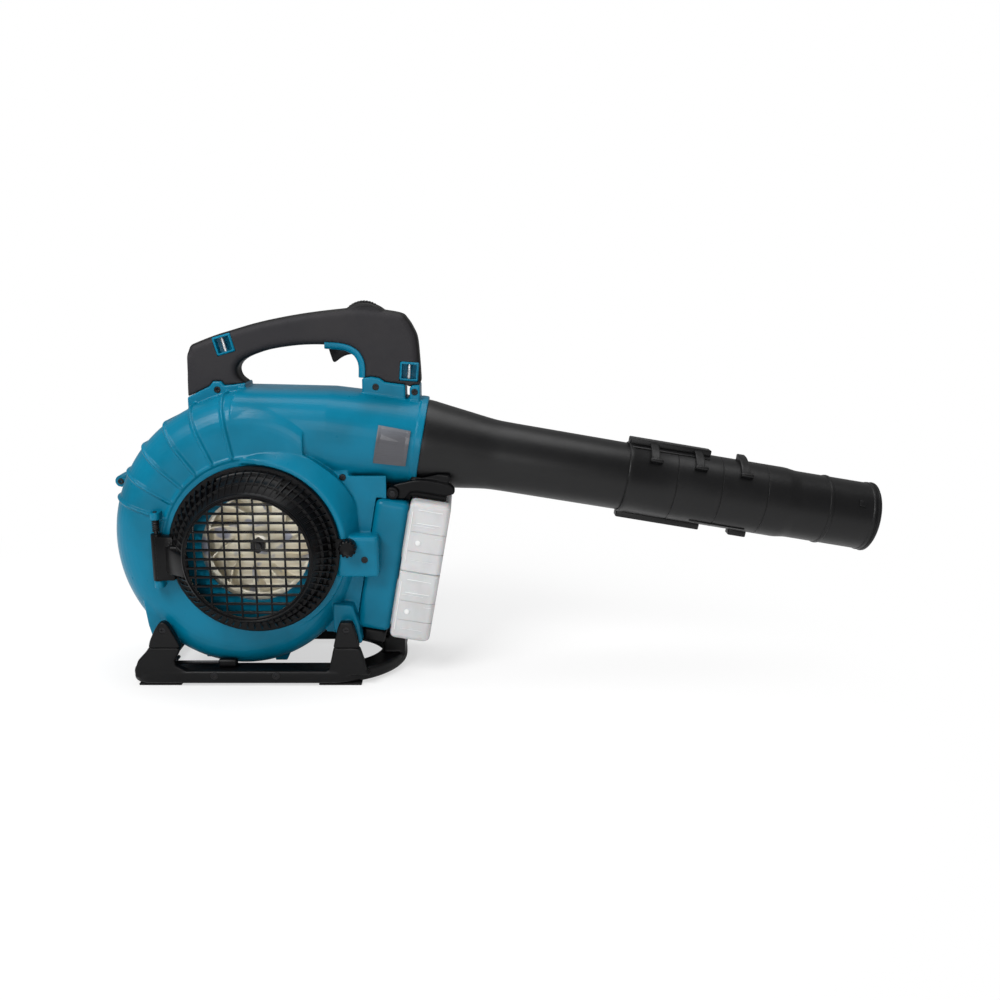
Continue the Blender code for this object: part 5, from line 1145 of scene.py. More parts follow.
    def label(self) -> None:
        """The rating plate: a thin bent sheet with a raised border and nothing on it."""
        place = self.duct.frame()
        rings = []
        near, far = -0.013, -0.047
        clear, thickness, border = 0.0006, 0.0008, 0.00035
        for i in range(25):
            along = far + (near - far) * i / 24
            t = -along / 0.045
            half = self.duct.radius + (self.duct.stations[-2][3] - self.duct.radius) * min(t, 1.0)
            outer, inner = [], []
            for k in range(33):
                angle = math.radians(-21 + 42 * k / 32)
                edge = i in (0, 1, 23, 24) or k in (0, 1, 31, 32)
                out = Vector((math.cos(angle), math.sin(angle), 0.0))
                lift = clear + thickness + (border if edge else 0.0)
                outer.append(place @ (out * (half + lift) + Vector((0.0, 0.0, along))))
                inner.append(place @ (out * (half + clear) + Vector((0.0, 0.0, along))))
            rings.append(outer + inner[::-1])
        sheet = Bench.skin("rating_plate", rings)
        if sum(v.co.y for v in sheet.data.vertices) > 0:
            sheet.data.transform(Matrix.Scale(-1, 4, (0.0, 1.0, 0.0)))
            Bench.weld(sheet)
        self.dresser.finish(sheet, "blower", "plate_grey", Finish.PLATE, "label_plate")

    def motor_cover(self) -> None:
        """The vented cover on the motor side."""
        start, reach, crown, rim = self.scroll.half_depth + GAP, 0.095, 0.05, 0.062
        length = reach - start
        profile = [(0.006, length), (crown - 0.008, length), (crown - 0.003, length - 0.0012),
                   (crown + 0.001, length - 0.0045), (rim - 0.0015, 0.0075), (rim, 0.0055), (rim, 0.0),
                   (rim - WALL, 0.0), (rim - WALL, 0.006), (crown - WALL, length - WALL), (0.0143, length - WALL),
                   (0.0143, -0.0063), (0.0113, -0.0063), (0.0113, 0.001), (0.006, 0.001)]
        cover = Bench.turned("motor_cover_moulded", profile, fan_frame(self.scroll, start, 1), 96)
        vents = []
        for i in range(24):
            turn = Matrix.Translation((0.0, 0.0, self.scroll.fan_height)) @ Matrix.Rotation(math.tau * i / 24, 4, "Y")
            vents.append(Bench.rounded(Bench.block("vent", (0.02, reach - 0.008, -0.0017),
                                                   (0.041, reach + 0.003, 0.0017), turn), 0.0006, 1))
        Bench.cut(cover, Bench.gathered("vents", vents))
        self.dresser.finish(Bench.rounded(cover, 0.0005, 2, 50), "blower", "teal", Finish.TEAL, "motor_cover")


# ---------------------------------------------------------------- handle
@dataclass
class Handle:
    """The grip, its trim, strap anchors, trigger and speed dial."""

    dresser: Dresser
    half_width: float = 0.017
    round_over: float = 0.0082
    wall: float = 0.0025
    voxel: float = 0.0009
    saddle: tuple[Point2, ...] = ((-0.0755, 0.3045), (-0.051, 0.3163), (-0.0475, 0.3213), (-0.0385, 0.3213),
                                  (-0.0355, 0.3168), (-0.013, 0.3195))
    shoulder: tuple[Point2, ...] = ((0.111, 0.3245), (0.1205, 0.3262), (0.13, 0.3245), (0.1355, 0.3205),
                                    (0.157, 0.3178))
    lug: tuple[Point2, ...] = ((0.1615, 0.3145), (0.165, 0.3172), (0.1727, 0.3172))
    back: tuple[Point2, ...] = (
        (0.1735, 0.322), (0.1724, 0.341), (0.1703, 0.3645), (0.1667, 0.3749), (0.1595, 0.3865), (0.15, 0.393),
        (0.112, 0.3978), (0.0886, 0.3966), (0.0461, 0.3914), (0.0039, 0.3834), (-0.0296, 0.374), (-0.0462, 0.3689),
        (-0.065, 0.3617), (-0.071, 0.3585), (-0.074, 0.352))
    grip: tuple[Point2, ...] = (
        (-0.013, 0.3195), (-0.0205, 0.3258), (-0.022, 0.3355), (-0.0145, 0.344), (0.0027, 0.3512), (0.0189, 0.3555),
        (0.0456, 0.359), (0.072, 0.3594), (0.092, 0.3575), (0.104, 0.352), (0.1095, 0.344), (0.1112, 0.336),
        (0.111, 0.3245))
    trim_from: int = 7
    trigger_pivot: Point2 = (0.112, 0.353)
    trigger_half: float = 0.005
    dial: Point2 = (0.113, 0.3813)
    dial_radius: float = 0.024
    dial_half: float = 0.006
    anchors: tuple[tuple[str, float, float, float], ...] = (
        ("rear", -0.0345, 0.3602, math.radians(-16)), ("front", 0.1612, 0.3316, math.radians(4)))

    def outline(self) -> list[Point2]:
        """The whole outline: saddle, hand hole, shoulder, lug and back."""
        lift = GAP
        seat = [(x, z + lift) for x, z in self.saddle[:-1]]
        shoulder = [(x, z + lift) for x, z in self.shoulder]
        lug = [(x, z + 2 * lift) for x, z in self.lug]
        return [*seat, *flowing(self.grip, 5)[:-1], *shoulder, *lug, *flowing(self.back, 5)]

    def crowned(self, piece: Object) -> Object:
        """Rounds the grip over towards its back and its hand hole."""
        paths = [flowing(self.back, 5), flowing(self.grip, 5)]
        starts, ends = [], []
        for path in paths:
            starts += path[:-1]
            ends += path[1:]
        a, b = np.array(starts), np.array(ends)
        count = len(piece.data.vertices)
        points = np.empty(count * 3)
        piece.data.vertices.foreach_get("co", points)
        points = points.reshape(-1, 3)
        flat = points[:, [0, 2]]
        nearest = np.full(count, 1.0)
        for first, second in zip(a, b):
            along = second - first
            t = np.clip(((flat - first) @ along) / (along @ along), 0, 1)
            nearest = np.minimum(nearest, np.linalg.norm(flat - first - t[:, None] * along, axis=1))
        fall = np.clip(self.round_over - nearest, 0, None)
        limit = self.half_width - self.round_over + np.sqrt(np.clip(self.round_over ** 2 - fall ** 2, 0, None))
        points[:, 1] = np.clip(points[:, 1], -limit, limit)
        piece.data.vertices.foreach_set("co", points.ravel())
        return piece

    def build(self) -> None:
        """Makes the two halves of the grip."""
        outline = self.outline()
        whole = Bench.plate("grip", outline, -self.half_width, self.half_width)
        Bench.moulded(whole, self.voxel * 1.3, 0)
        self.crowned(whole)
        arc = [(self.dial[0] + 0.0008 + 0.032 * math.cos(math.radians(a)), 0.3712 + 0.032 * math.sin(math.radians(a)))
               for a in range(35, 146, 5)]
        foot = [(self.dial[0] - 0.024, 0.385), (self.dial[0] + 0.026, 0.385)]
        hump = Bench.plate("hump", [*arc, *foot], -0.0142, 0.0142)
        whole = Bench.gathered("grip", [whole, Bench.rounded(hump, 0.0035, 3, 60)])
        Bench.moulded(whole, self.voxel, 4, 200000)
        pivot, dial = self.trigger_pivot, self.dial
        for side, name in ((-1, "right"), (1, "left")):
            shell = Bench.half(Bench.twin(whole, f"grip_{name}_moulded"), side)
            reach = self.half_width - self.wall
            coarse = [*self.saddle[:-1], *self.grip, *self.shoulder[1:], *self.lug, *self.back]
            Bench.cut(shell, Bench.plate("pocket", inset(coarse, self.wall + 0.0025), -side * 0.001, side * reach))
            Bench.cut(shell, Bench.block("trigger_slot", (pivot[0] - 0.04, -0.0056, pivot[1] - 0.006),
                                         (pivot[0] - 0.001, 0.0056, pivot[1] + 0.012)))
            Bench.cut(shell, Bench.across("dial_slot", dial, -0.0066, 0.0066, self.dial_radius + 0.0012, 64))
            if side < 0:
                for _, x, z, turn in self.anchors:
                    place = Matrix.Translation((x, 0.0, z)) @ Matrix.Rotation(turn, 4, "Y")
                    Bench.cut(shell, Bench.block("anchor_space", (-0.0103, -0.03, -0.0103),
                                                 (0.0103, -self.half_width + 0.0153, 0.0103), place))
            self.dresser.finish(shell, "blower", "charcoal", Finish.GRIP, f"handle_{name}", angle=34)
        bpy.data.objects.remove(whole)

    def trim(self) -> None:
        """The teal bead that lines the front of the hand hole."""
        path = flowing([*self.grip[self.trim_from:-1], (self.grip[-1][0], self.grip[-1][1] + 0.0006)], 6)
        section = ((-0.0034, 0.016), (-0.0028, 0.0172), (-0.0006, 0.0177), (0.0016, 0.017), (0.0034, 0.015),
                   (0.0042, 0.012), (0.0042, 0.0), (0.0042, -0.012), (0.0034, -0.015), (0.0016, -0.017),
                   (-0.0006, -0.0177), (-0.0028, -0.0172), (-0.0034, -0.016), (-0.003, -0.011), (0.0003, -0.008),
                   (0.0003, 0.008), (-0.003, 0.011))
        rings = []
        for i, here in enumerate(path):
            before, after = Vector(path[max(i - 1, 0)]), Vector(path[min(i + 1, len(path) - 1)])
            along = (after - before).normalized()
            hole = Vector((along.y, -along.x))
            rings.append([Vector((here[0] + hole.x * d, y, here[1] + hole.y * d)) for d, y in section])
        strip = Bench.skin("trim_moulded", rings)
        pivot = self.trigger_pivot
        Bench.cut(strip, Bench.block("slot", (self.grip[7][0] - 0.01, -0.0058, pivot[1] - 0.018),
                                     (self.grip[9][0] + 0.0025, 0.0058, pivot[1] + 0.016)))
        self.dresser.finish(strip, "blower", "teal", Finish.TEAL, "handle_trim")

    def controls(self) -> None:
        """The trigger, the speed dial and the strap anchors."""
        pivot = self.trigger_pivot
        shape = flowing([(-0.001, 0.003), (-0.016, 0.0052), (-0.033, 0.01), (-0.0372, 0.004),
                         (-0.035, -0.006), (-0.0318, -0.0128), (-0.025, -0.0085), (-0.017, -0.0048),
                         (-0.0015, -0.003)], 3)
        lever = Bench.plate("trigger_moulded", [(pivot[0] + x, pivot[1] + z) for x, z in shape], -self.trigger_half,
                            self.trigger_half)
        Bench.rounded(lever, 0.0012, 3, 50)
        Bench.fuse(lever, Bench.across("hub", pivot, -self.trigger_half, self.trigger_half, 0.0031, 32))
        Bench.cut(lever, Bench.across("bore", pivot, -0.01, 0.01, 0.0018, 24))
        self.dresser.finish(lever, "trigger", "black", Finish.BLACK, "trigger")
        levels = ((-self.dial_half, 0.0016), (-self.dial_half + 0.0004, 0.0006), (-self.dial_half + 0.0014, 0.0),
                  (self.dial_half - 0.0014, 0.0), (self.dial_half - 0.0004, 0.0006), (self.dial_half, 0.0016))
        rings = []
        for y, inwards in levels:
            ring = []
            for i in range(240):
                angle = math.tau * i / 240
                tooth = 0.0006 * (0.5 - 0.5 * math.cos(48 * angle)) ** 3
                radius = self.dial_radius - inwards - tooth
                ring.append(Vector((self.dial[0] + radius * math.cos(angle), y,
                                    self.dial[1] + radius * math.sin(angle))))
            rings.append(ring)
        wheel = Bench.skin("speed_dial_moulded", rings)
        Bench.cut(wheel, Bench.across("bore", self.dial, -0.01, 0.01, 0.0018, 24))
        self.dresser.finish(wheel, "dial", "black", Finish.BLACK, "speed_dial")
        for name, _, _, _ in self.anchors:
            self.dresser.refit(f"strap_anchor_{name}", "blower", "teal", Finish.TEAL, 0.0005)
            self.dresser.refit(f"strap_pin_{name}", "blower", "steel", Finish.STEEL, 0.0003)


# ---------------------------------------------------------------- intake cover
@dataclass
class IntakeCover:
    """The hinged cover with its louvres, grille, hinge and lock knob."""

    dresser: Dresser
    scroll: Scroll = field(default_factory=Scroll)
    radius: float = 0.0895
    inner: float = 0.08
    base: float = 0.0075
    reach: float = 0.11
    rim: float = 0.067
    rim_inner: float = 0.065
    rim_depth: float = 0.006
    slats: int = 66
    slat_thickness: float = 0.0019
    slat_twist: float = math.radians(5)
    knob: Point2 = (0.0985, 0.1549)

    def slat(self, start: float) -> Object:
        """One curved slat between the base ring and the front rim."""
        rings = []
        for i in range(7):
            t = i / 6
            y = -0.0715 - (self.reach - 0.0715 - self.rim_depth / 2) * t
            bow = 0.003 * math.sin(math.pi * t)
            outer = self.radius - 0.0012 + (self.rim - 0.0012 - self.radius + 0.0012) * t + bow
            inner = self.inner + 0.001 + (self.rim_inner - 0.0005 - self.inner - 0.001) * t + bow
            angle = start + self.slat_twist * t
            out = Vector((math.cos(angle), 0.0, math.sin(angle)))
            sideways = Vector((-math.sin(angle), 0.0, math.cos(angle)))
            centre = Vector((0.0, y, self.scroll.fan_height))
            rings.append([centre + out * r + sideways * w * self.slat_thickness / 2
                          for r, w in ((inner, -1), (outer, -0.7), (outer, 0.7), (inner, 1))])
        return Bench.skin("slat", rings)

    def hood(self) -> Object:
        """The closed panel at the cover's top, with two cross ridges."""
        rings = []
        for i in range(25):
            angle = math.radians(66 + 48 * i / 24)
            ring = []
            for r, y in ((0.0862, -0.0745), (0.0846, -0.08), (0.0832, -0.0808), (0.0778, -0.0905), (0.077, -0.0935),
                         (0.0752, -0.094), (0.069, -0.103), (0.0665, -0.1055), (0.0625, -0.1055), (0.07, -0.093),
                         (0.078, -0.08), (0.0815, -0.0745)):
                ring.append(self.scroll.place(angle, r, y))
            rings.append(ring)
        return Bench.skin("hood", rings)

    def build(self) -> None:
        """Makes the cover."""
        back = -self.scroll.half_depth - GAP
        body = Bench.turned("intake_cover_moulded", [
            (self.radius - 0.0012, self.base), (self.radius, self.base - 0.0012), (self.radius, 0.0), (self.inner, 0.0),
            (self.inner, self.base - 0.0008), (self.inner + 0.0008, self.base)], fan_frame(self.scroll, back), 120)
        rim = Bench.turned("rim", [
            (self.rim - 0.0012, self.rim_depth), (self.rim, self.rim_depth - 0.0012), (self.rim, 0.0012),
            (self.rim - 0.001, 0.0), (self.rim_inner, 0.0), (self.rim_inner, self.rim_depth - 0.0006),
            (self.rim_inner + 0.0006, self.rim_depth)], fan_frame(self.scroll, self.rim_depth - self.reach), 120)
        hoops = []
        for radius, y in ((0.0822, -0.0835), (0.0755, -0.0945)):
            hoops.append(Bench.turned("hoop", [(radius, 0.0009), (radius, -0.0009), (radius - 0.003, -0.0009),
                                               (radius - 0.003, 0.0009)], fan_frame(self.scroll, y), 120))
        slats = [self.slat(math.tau * i / self.slats) for i in range(self.slats)]
        # A solid black cone behind the slats: painted shade over the seat seen through them.
        painted_shade_cone = Bench.turned("painted_shade_cone", [(0.0835, self.base - 0.001), (0.0656, self.reach + back - 0.001),
                                       (0.0641, self.reach + back - 0.001), (0.0815, self.base - 0.001)],
                             fan_frame(self.scroll, back), 120)
        low = HINGE_LOW + HINGE_LUG + PLAY
        knuckle = Bench.rod("knuckle", (*HINGE, low), (*HINGE, low + KNUCKLE), 0.0058, 32)
        arm = Bench.block("arm", (HINGE[0], -0.0838, low + 0.001), (-self.inner - 0.002, -0.0706, low + 0.0485))
        strap = Bench.block("strap", (-0.086, -0.09, low + 0.008), (-0.07, -0.074, low + 0.04))
        Bench.fuse(knuckle, Bench.rounded(arm, 0.0018, 2), Bench.rounded(strap, 0.003, 3))
        Bench.rounded(knuckle, 0.0006, 2, 50)
        ends = (((-0.085, -0.072), (-0.091, -0.083), 0.015), ((-0.06, -0.106), (-0.0655, -0.109), 0.011))
        middle = low + 0.0235
        cheek = Bench.skin("cheek", [[Vector((*inner, middle - half)), Vector((*inner, middle + half)),
                                      Vector((*outer, middle + half)), Vector((*outer, middle - half))]
                                     for inner, outer, half in ends])
        Bench.rounded(cheek, 0.0015, 2, 50)
        Bench.cut(knuckle, Bench.rod("pin_hole", (*HINGE, low - 0.01), (*HINGE, low + 0.06), HINGE_BORE, 20))
        ear_back = -0.0723
        ear = Bench.across("ear", self.knob, ear_back, ear_back - 0.0045, 0.0085, 40)
        neck = Bench.block("neck", (self.radius - 0.006, ear_back - 0.0045, self.knob[1] - 0.0085),
                           (self.knob[0], ear_back, self.knob[1] + 0.0085))
        Bench.rounded(Bench.fuse(ear, neck), 0.0008, 2, 50)
        Bench.cut(ear, Bench.across("ear_hole", self.knob, ear_back + 0.002, ear_back - 0.007, 0.0025, 24))
        body = Bench.gathered("intake_cover_moulded", [body, rim, painted_shade_cone, *hoops, *slats, self.hood(), knuckle, cheek,
                                                       ear])
        self.dresser.finish(body, "cover", "black", Finish.BLACK, "intake_cover")

    def grille(self) -> None:
        """The front grille: thin bars and posts in a ring."""
        front = -self.reach + 0.001
        radius = self.rim_inner - GAP
        ring = Bench.turned("intake_grille_moulded", [
            (radius, 0.0032), (radius, 0.0), (radius - 0.002, 0.0), (radius - 0.002, 0.0025),
            (radius - 0.0013, 0.0032)], fan_frame(self.scroll, front + 0.0032), 120)
        made = [ring]
        inner = radius - 0.001
        for pitch, thickness, depth, across in ((0.0095, 0.0024, 0.0032, True), (0.0153, 0.0019, 0.0027, False)):
            for i in range(-8, 8):
                offset = pitch * (i if across else i + 0.5)
                if abs(offset) > inner - 0.002:
                    continue
                reach = math.sqrt(inner ** 2 - offset ** 2)
                half = (reach, thickness / 2) if across else (thickness / 2, reach)
                middle = (0.0, offset) if across else (offset, 0.0)
                low = (middle[0] - half[0], front, self.scroll.fan_height + middle[1] - half[1])
                high = (middle[0] + half[0], front + depth, self.scroll.fan_height + middle[1] + half[1])
                made.append(Bench.rounded(Bench.block("bar", low, high), 0.0006, 2))
        self.dresser.finish(Bench.gathered("intake_grille_moulded", made), "cover", "black", Finish.BLACK,
                            "intake_grille")

    def fittings(self) -> None:
        """The hinge's pin and spring, and the lock knob."""
        self.dresser.refit("hinge_pin", "blower", "steel", Finish.DARK_STEEL, 0.0004)
        low = HINGE_LOW + HINGE_LUG + KNUCKLE + 4 * PLAY
        high = HINGE_HIGH - HINGE_LUG - 2 * PLAY
        coil = 0.0022 + 0.0007 + GAP
        path = [Vector((HINGE[0] + coil * math.cos(a), HINGE[1] + coil * math.sin(a),
                        low + (high - low) * a / (math.tau * 6))) for a in
                (math.tau * 6 * i / 120 for i in range(121))]
        self.dresser.finish(Bench.swept("hinge_spring_wire", path, 0.0008, 8), "blower", "steel", Finish.DARK_STEEL,
                            "hinge_spring")
        back, length = -0.0723 - GAP - 0.0045, 0.01
        rings = []
        for y, inwards in ((0.0, 0.001), (-0.001, 0.0), (-length + 0.0018, 0.0), (-length + 0.0006, 0.0008),
                           (-length, 0.0024), (-length + 0.0009, 0.004)):
            ring = []
            for i in range(192):
                angle = math.tau * i / 192
                groove = 0.0016 * (0.5 - 0.5 * math.cos(12 * angle)) ** 2 if inwards < 0.002 else 0.0
                radius = 0.0095 - inwards - groove
                ring.append(Vector((self.knob[0] + radius * math.cos(angle), back + y,
                                    self.knob[1] + radius * math.sin(angle))))
            rings.append(ring)
        knob = Bench.skin("lock_knob_moulded", rings)
        Bench.fuse(knob, Bench.across("shank", self.knob, back - 0.002, -0.064, 0.0022, 20))
        self.dresser.finish(knob, "knob", "black", Finish.BLACK, "lock_knob", angle=40)


# ---------------------------------------------------------------- fan
@dataclass
class Fan:
    """The fan wheel and its nut."""

    dresser: Dresser
    scroll: Scroll = field(default_factory=Scroll)
    back: float = -0.018
    radius: float = 0.084
    eye: float = 0.055
    blades: int = 10
    blade_inner: float = 0.03
    sweep: float = math.radians(38)

    def build(self) -> None:
        """Makes the wheel."""
        place = fan_frame(self.scroll, self.back)
        hub = [(0.009, 0.033), (0.01, 0.0325), (0.0115, 0.028), (0.014, 0.021), (0.0185, 0.0145), (0.0255, 0.0095),
               (0.036, 0.0062), (0.048, 0.0044), (0.062, 0.0034), (self.radius - 0.0008, 0.0028), (self.radius, 0.002),
               (self.radius, 0.0), (0.0043, 0.0), (0.0043, 0.033)]
        wheel = Bench.turned("fan_wheel", hub, place, 96)
        shroud = Bench.turned("shroud", [(self.eye, 0.0335), (self.eye + 0.006, 0.0325), (self.radius, 0.025),
                                         (self.radius, 0.0232), (self.eye + 0.006, 0.0305), (self.eye, 0.0317),
                                         (self.eye - 0.0012, 0.0326)], place, 96)
        made = [wheel, shroud]
        for i in range(self.blades):
            rings = []
            for k in range(15):
                t = k / 14
                radius = self.blade_inner + (self.radius - 0.001 - self.blade_inner) * t
                angle = math.tau * i / self.blades + self.sweep * t
                high = 0.0325 - max(0.0, radius - self.eye) / (self.radius - self.eye) * 0.0085
                high -= 0.011 * max(0.0, 1 - t * 4) ** 2
                out = Vector((math.cos(angle), math.sin(angle), 0.0))
                sideways = Vector((-math.sin(angle), math.cos(angle), 0.0))
                rings.append([place @ (out * radius + sideways * w * 0.001 + Vector((0.0, 0.0, h)))
                              for w, h in ((-1.2, 0.0012), (1.2, 0.0012), (1, high - 0.0007), (0.4, high), (-0.4, high),
                                           (-1, high - 0.0007))])
            made.append(Bench.skin("blade", rings))
        self.dresser.finish(Bench.gathered("fan_wheel", made), "fan", "cream", Finish.CREAM, "impeller")
        self.dresser.refit("impeller_nut", "fan", "dark_steel", Finish.DARK_STEEL, 0.0005)


# ---------------------------------------------------------------- nozzle
@dataclass
class Nozzle:
    """The nozzle's fixed pipe, its sliding extension and the cradle under its root."""

    dresser: Dresser
    duct: Duct = field(default_factory=Duct)
    bay: Bay = field(default_factory=Bay)
    wall: float = 0.0025
    cone: float = 0.078
    pipe_radius: float = 0.0381
    pipe_end: float = 0.0363
    length: float = 0.37
    start: float = 0.223
    step: float = 0.404
    end: float = 0.5015
    radius: float = 0.0389
    tip: float = 0.0371
    hooks: tuple[float, ...] = (0.25, 0.299, 0.349)
    seams: tuple[float, ...] = (0.276, 0.3255, 0.3755)

    def pipe(self) -> None:
        """The spigot, the cone and the long tube."""
        cone = flowing([(0.048, 0.003), (0.0472, 0.01), (0.045, 0.026), (0.0424, 0.046), (0.0397, 0.066),
                        (0.0383, 0.08), (0.0379, 0.1)], 5)
        outside = [(0.0464, -0.008), (0.0464, GAP), (0.048, GAP), *cone, (self.pipe_end + 0.0003, self.length - 0.001),
                   (self.pipe_end, self.length)]
        inside = [(self.pipe_end - self.wall, self.length), (0.0379 - self.wall, 0.1), (0.0383 - self.wall, 0.08),
                  (0.0424 - self.wall, 0.046), (0.0464 - self.wall, 0.006), (0.0464 - self.wall, -0.008)]
        body = Bench.turned("nozzle_pipe_moulded", outside + inside, self.duct.frame(), 128)
        self.dresser.finish(body, "blower", "black", Finish.NOZZLE, "nozzle_pipe")

    def groove(self, radius: float, place: float) -> list[Point2]:
        """A fine ring groove in a tube."""
        return [(radius, place - 0.0007), (radius - 0.0005, place - 0.0002), (radius - 0.0005, place + 0.0002),
                (radius, place + 0.0007)]

    def extension(self) -> None:
        """The sliding extension with its beads, rails and strap hooks."""
        place = self.duct.frame()
        t = (self.start - self.cone) / (self.length - self.cone)
        bore = self.pipe_radius + (self.pipe_end - self.pipe_radius) * t + 0.0006
        tip_bore = self.tip - self.wall
        bead = self.end - 0.052
        outside = [(self.radius - 0.0004, self.start), (self.radius, self.start + 0.0006),
                   (self.radius + 0.0005, self.start + 0.0012), (self.radius + 0.0005, self.start + 0.0052),
                   (self.radius, self.start + 0.006)]
        for seam in self.seams:
            outside += self.groove(self.radius, seam)
        outside += flowing([(self.radius, self.step - 0.006), (self.radius - 0.0003, self.step - 0.002),
                            (self.tip + 0.0003, self.step + 0.006), (self.tip, self.step + 0.011)], 3)
        for low, high, rise in ((bead - 0.0052, bead - 0.0004, 0.0011), (self.end - 0.009, self.end - 0.0052, 0.0009),
                                (self.end - 0.0042, self.end - 0.0004, 0.0014)):
            outside += [(self.tip, low), (self.tip + rise * 0.8, low + 0.0008), (self.tip + rise, (low + high) / 2),
                        (self.tip + rise * 0.8, high - 0.0008), (self.tip, high)]
        outside += [(self.tip - 0.0005, self.end)]
        inside = [(tip_bore, self.end), (tip_bore, self.step), (bore, self.step - 0.008), (bore, self.start)]
        body = Bench.turned("nozzle_extension_moulded", outside + inside, place, 128)
        forms = []
        root, top = self.radius - 0.0012, self.radius + 0.006
        for low, length, side, half in ((self.start + GAP, 0.09, 1, 0.0072), (self.start + GAP, 0.094, -1, 0.0072),
                                        (self.start + 0.128, 0.02, -1, 0.0065)):
            y_low, y_high = sorted((side * root, side * top))
            rail = Bench.block("rail", (-half, y_low, low), (half, y_high, low + length), place)
            forms.append(Bench.rounded(rail, 0.0014, 3))
        for low, length, angle in ((self.start + 0.002, 0.086, 112), (self.start + 0.078, 0.062, -124)):
            turn = place @ Matrix.Rotation(math.radians(angle - 90), 4, "Z")
            strip = Bench.block("strip", (-0.001, root, low), (0.001, self.radius + 0.0012, low + length), turn)
            forms.append(Bench.rounded(strip, 0.0006, 2))
        for along in self.hooks:
            forms.append(self.hook(place, along))
        catch = place @ Matrix.Rotation(math.radians(150 - 90), 4, "Z")
        forms.append(Bench.rounded(Bench.block("catch", (-0.0036, self.tip - 0.001, 0.476), (0.0036, self.tip + 0.0014,
                                                                                         0.4835), catch), 0.0009, 2))
        body = Bench.gathered("nozzle_extension_moulded", [body, *forms])
        self.dresser.finish(body, "extension", "black", Finish.NOZZLE, "nozzle_extension")

    def hook(self, place: Matrix, along: float) -> Object:
        """A strap hook: a band over the top that ends in a small bar on the near side."""
        rings = []
        for i in range(15):
            t = i / 14
            angle = math.radians(82 + 58 * t)
            lift = 0.0062 - 0.0022 * min(1.0, t / 0.4)
            half = 0.0046 * (1.0 if t < 0.85 else 1.0 - 0.35 * ((t - 0.85) / 0.15) ** 2)
            out = Vector((math.cos(angle), math.sin(angle), 0.0))
            rings.append([place @ (out * (self.radius + h) + Vector((0.0, 0.0, along + w * half)))
                          for h, w in ((-0.001, -1), (lift - 0.0008, -1), (lift, -0.75), (lift, 0.75),
                                       (lift - 0.0008, 1), (-0.001, 1))])
        band = Bench.skin("hook", rings)
        turn = place @ Matrix.Rotation(math.radians(138 - 90), 4, "Z")
        bar = Bench.block("hook_bar", (-0.002, self.radius - 0.001, along - 0.006), (0.002, self.radius + 0.0054,
                                                                                     along + 0.0082), turn)
        return Bench.gathered("hook", [band, Bench.rounded(bar, 0.0014, 3)])

    def cradle(self) -> None:
        """The cradle under the nozzle's root: a saddle with a screwed eye and a wedge on each side."""
        place = self.bay.frame()
        low, over = self.bay.height + GAP, 0.1512
        forms = [Bench.block("deck", (-0.033, -0.042, low), (-0.001, 0.042, low + 0.01), place),
                 Bench.block("front", (-0.004, -0.042, over), (0.038, 0.042, over + 0.03), place)]
        forms = [Bench.rounded(form, 0.002, 2) for form in forms]
        wedge = flowing([(0.1372, 0.212), (0.1362, 0.2062), (0.138, 0.2005), (0.144, 0.1996), (0.156, 0.1986),
                         (0.1635, 0.2066), (0.18, 0.2052), (0.199, 0.202), (0.2092, 0.2052), (0.205, 0.214),
                         (0.175, 0.22), (0.15, 0.216)], 4)
        for side in (-1, 1):
            forms.append(Bench.rounded(Bench.plate("wedge", wedge, side * 0.034, side * 0.0448), 0.0015, 2, 60))
            forms.append(Bench.across("eye", (0.1437, 0.2062), side * 0.038, side * 0.0494, 0.0066, 32))
        body = Bench.gathered("nozzle_cradle_moulded", forms)
        Bench.moulded(body, 0.0008, 2, 60000)
        keep = Bench.turned("pipe_space", [(0.0388, 0.08), (0.0403, 0.06), (0.043, 0.047), (0.0455, 0.034),
                                           (0.0518, 0.006), (0.0518, -0.0085), (0.056, -0.01), (0.06, -0.08),
                                           (0.001, -0.08), (0.001, 0.08)], self.duct.frame(), 96)
        Bench.cut(body, keep)
        self.dresser.finish(body, "blower", "black", Finish.BLACK, "nozzle_cradle")


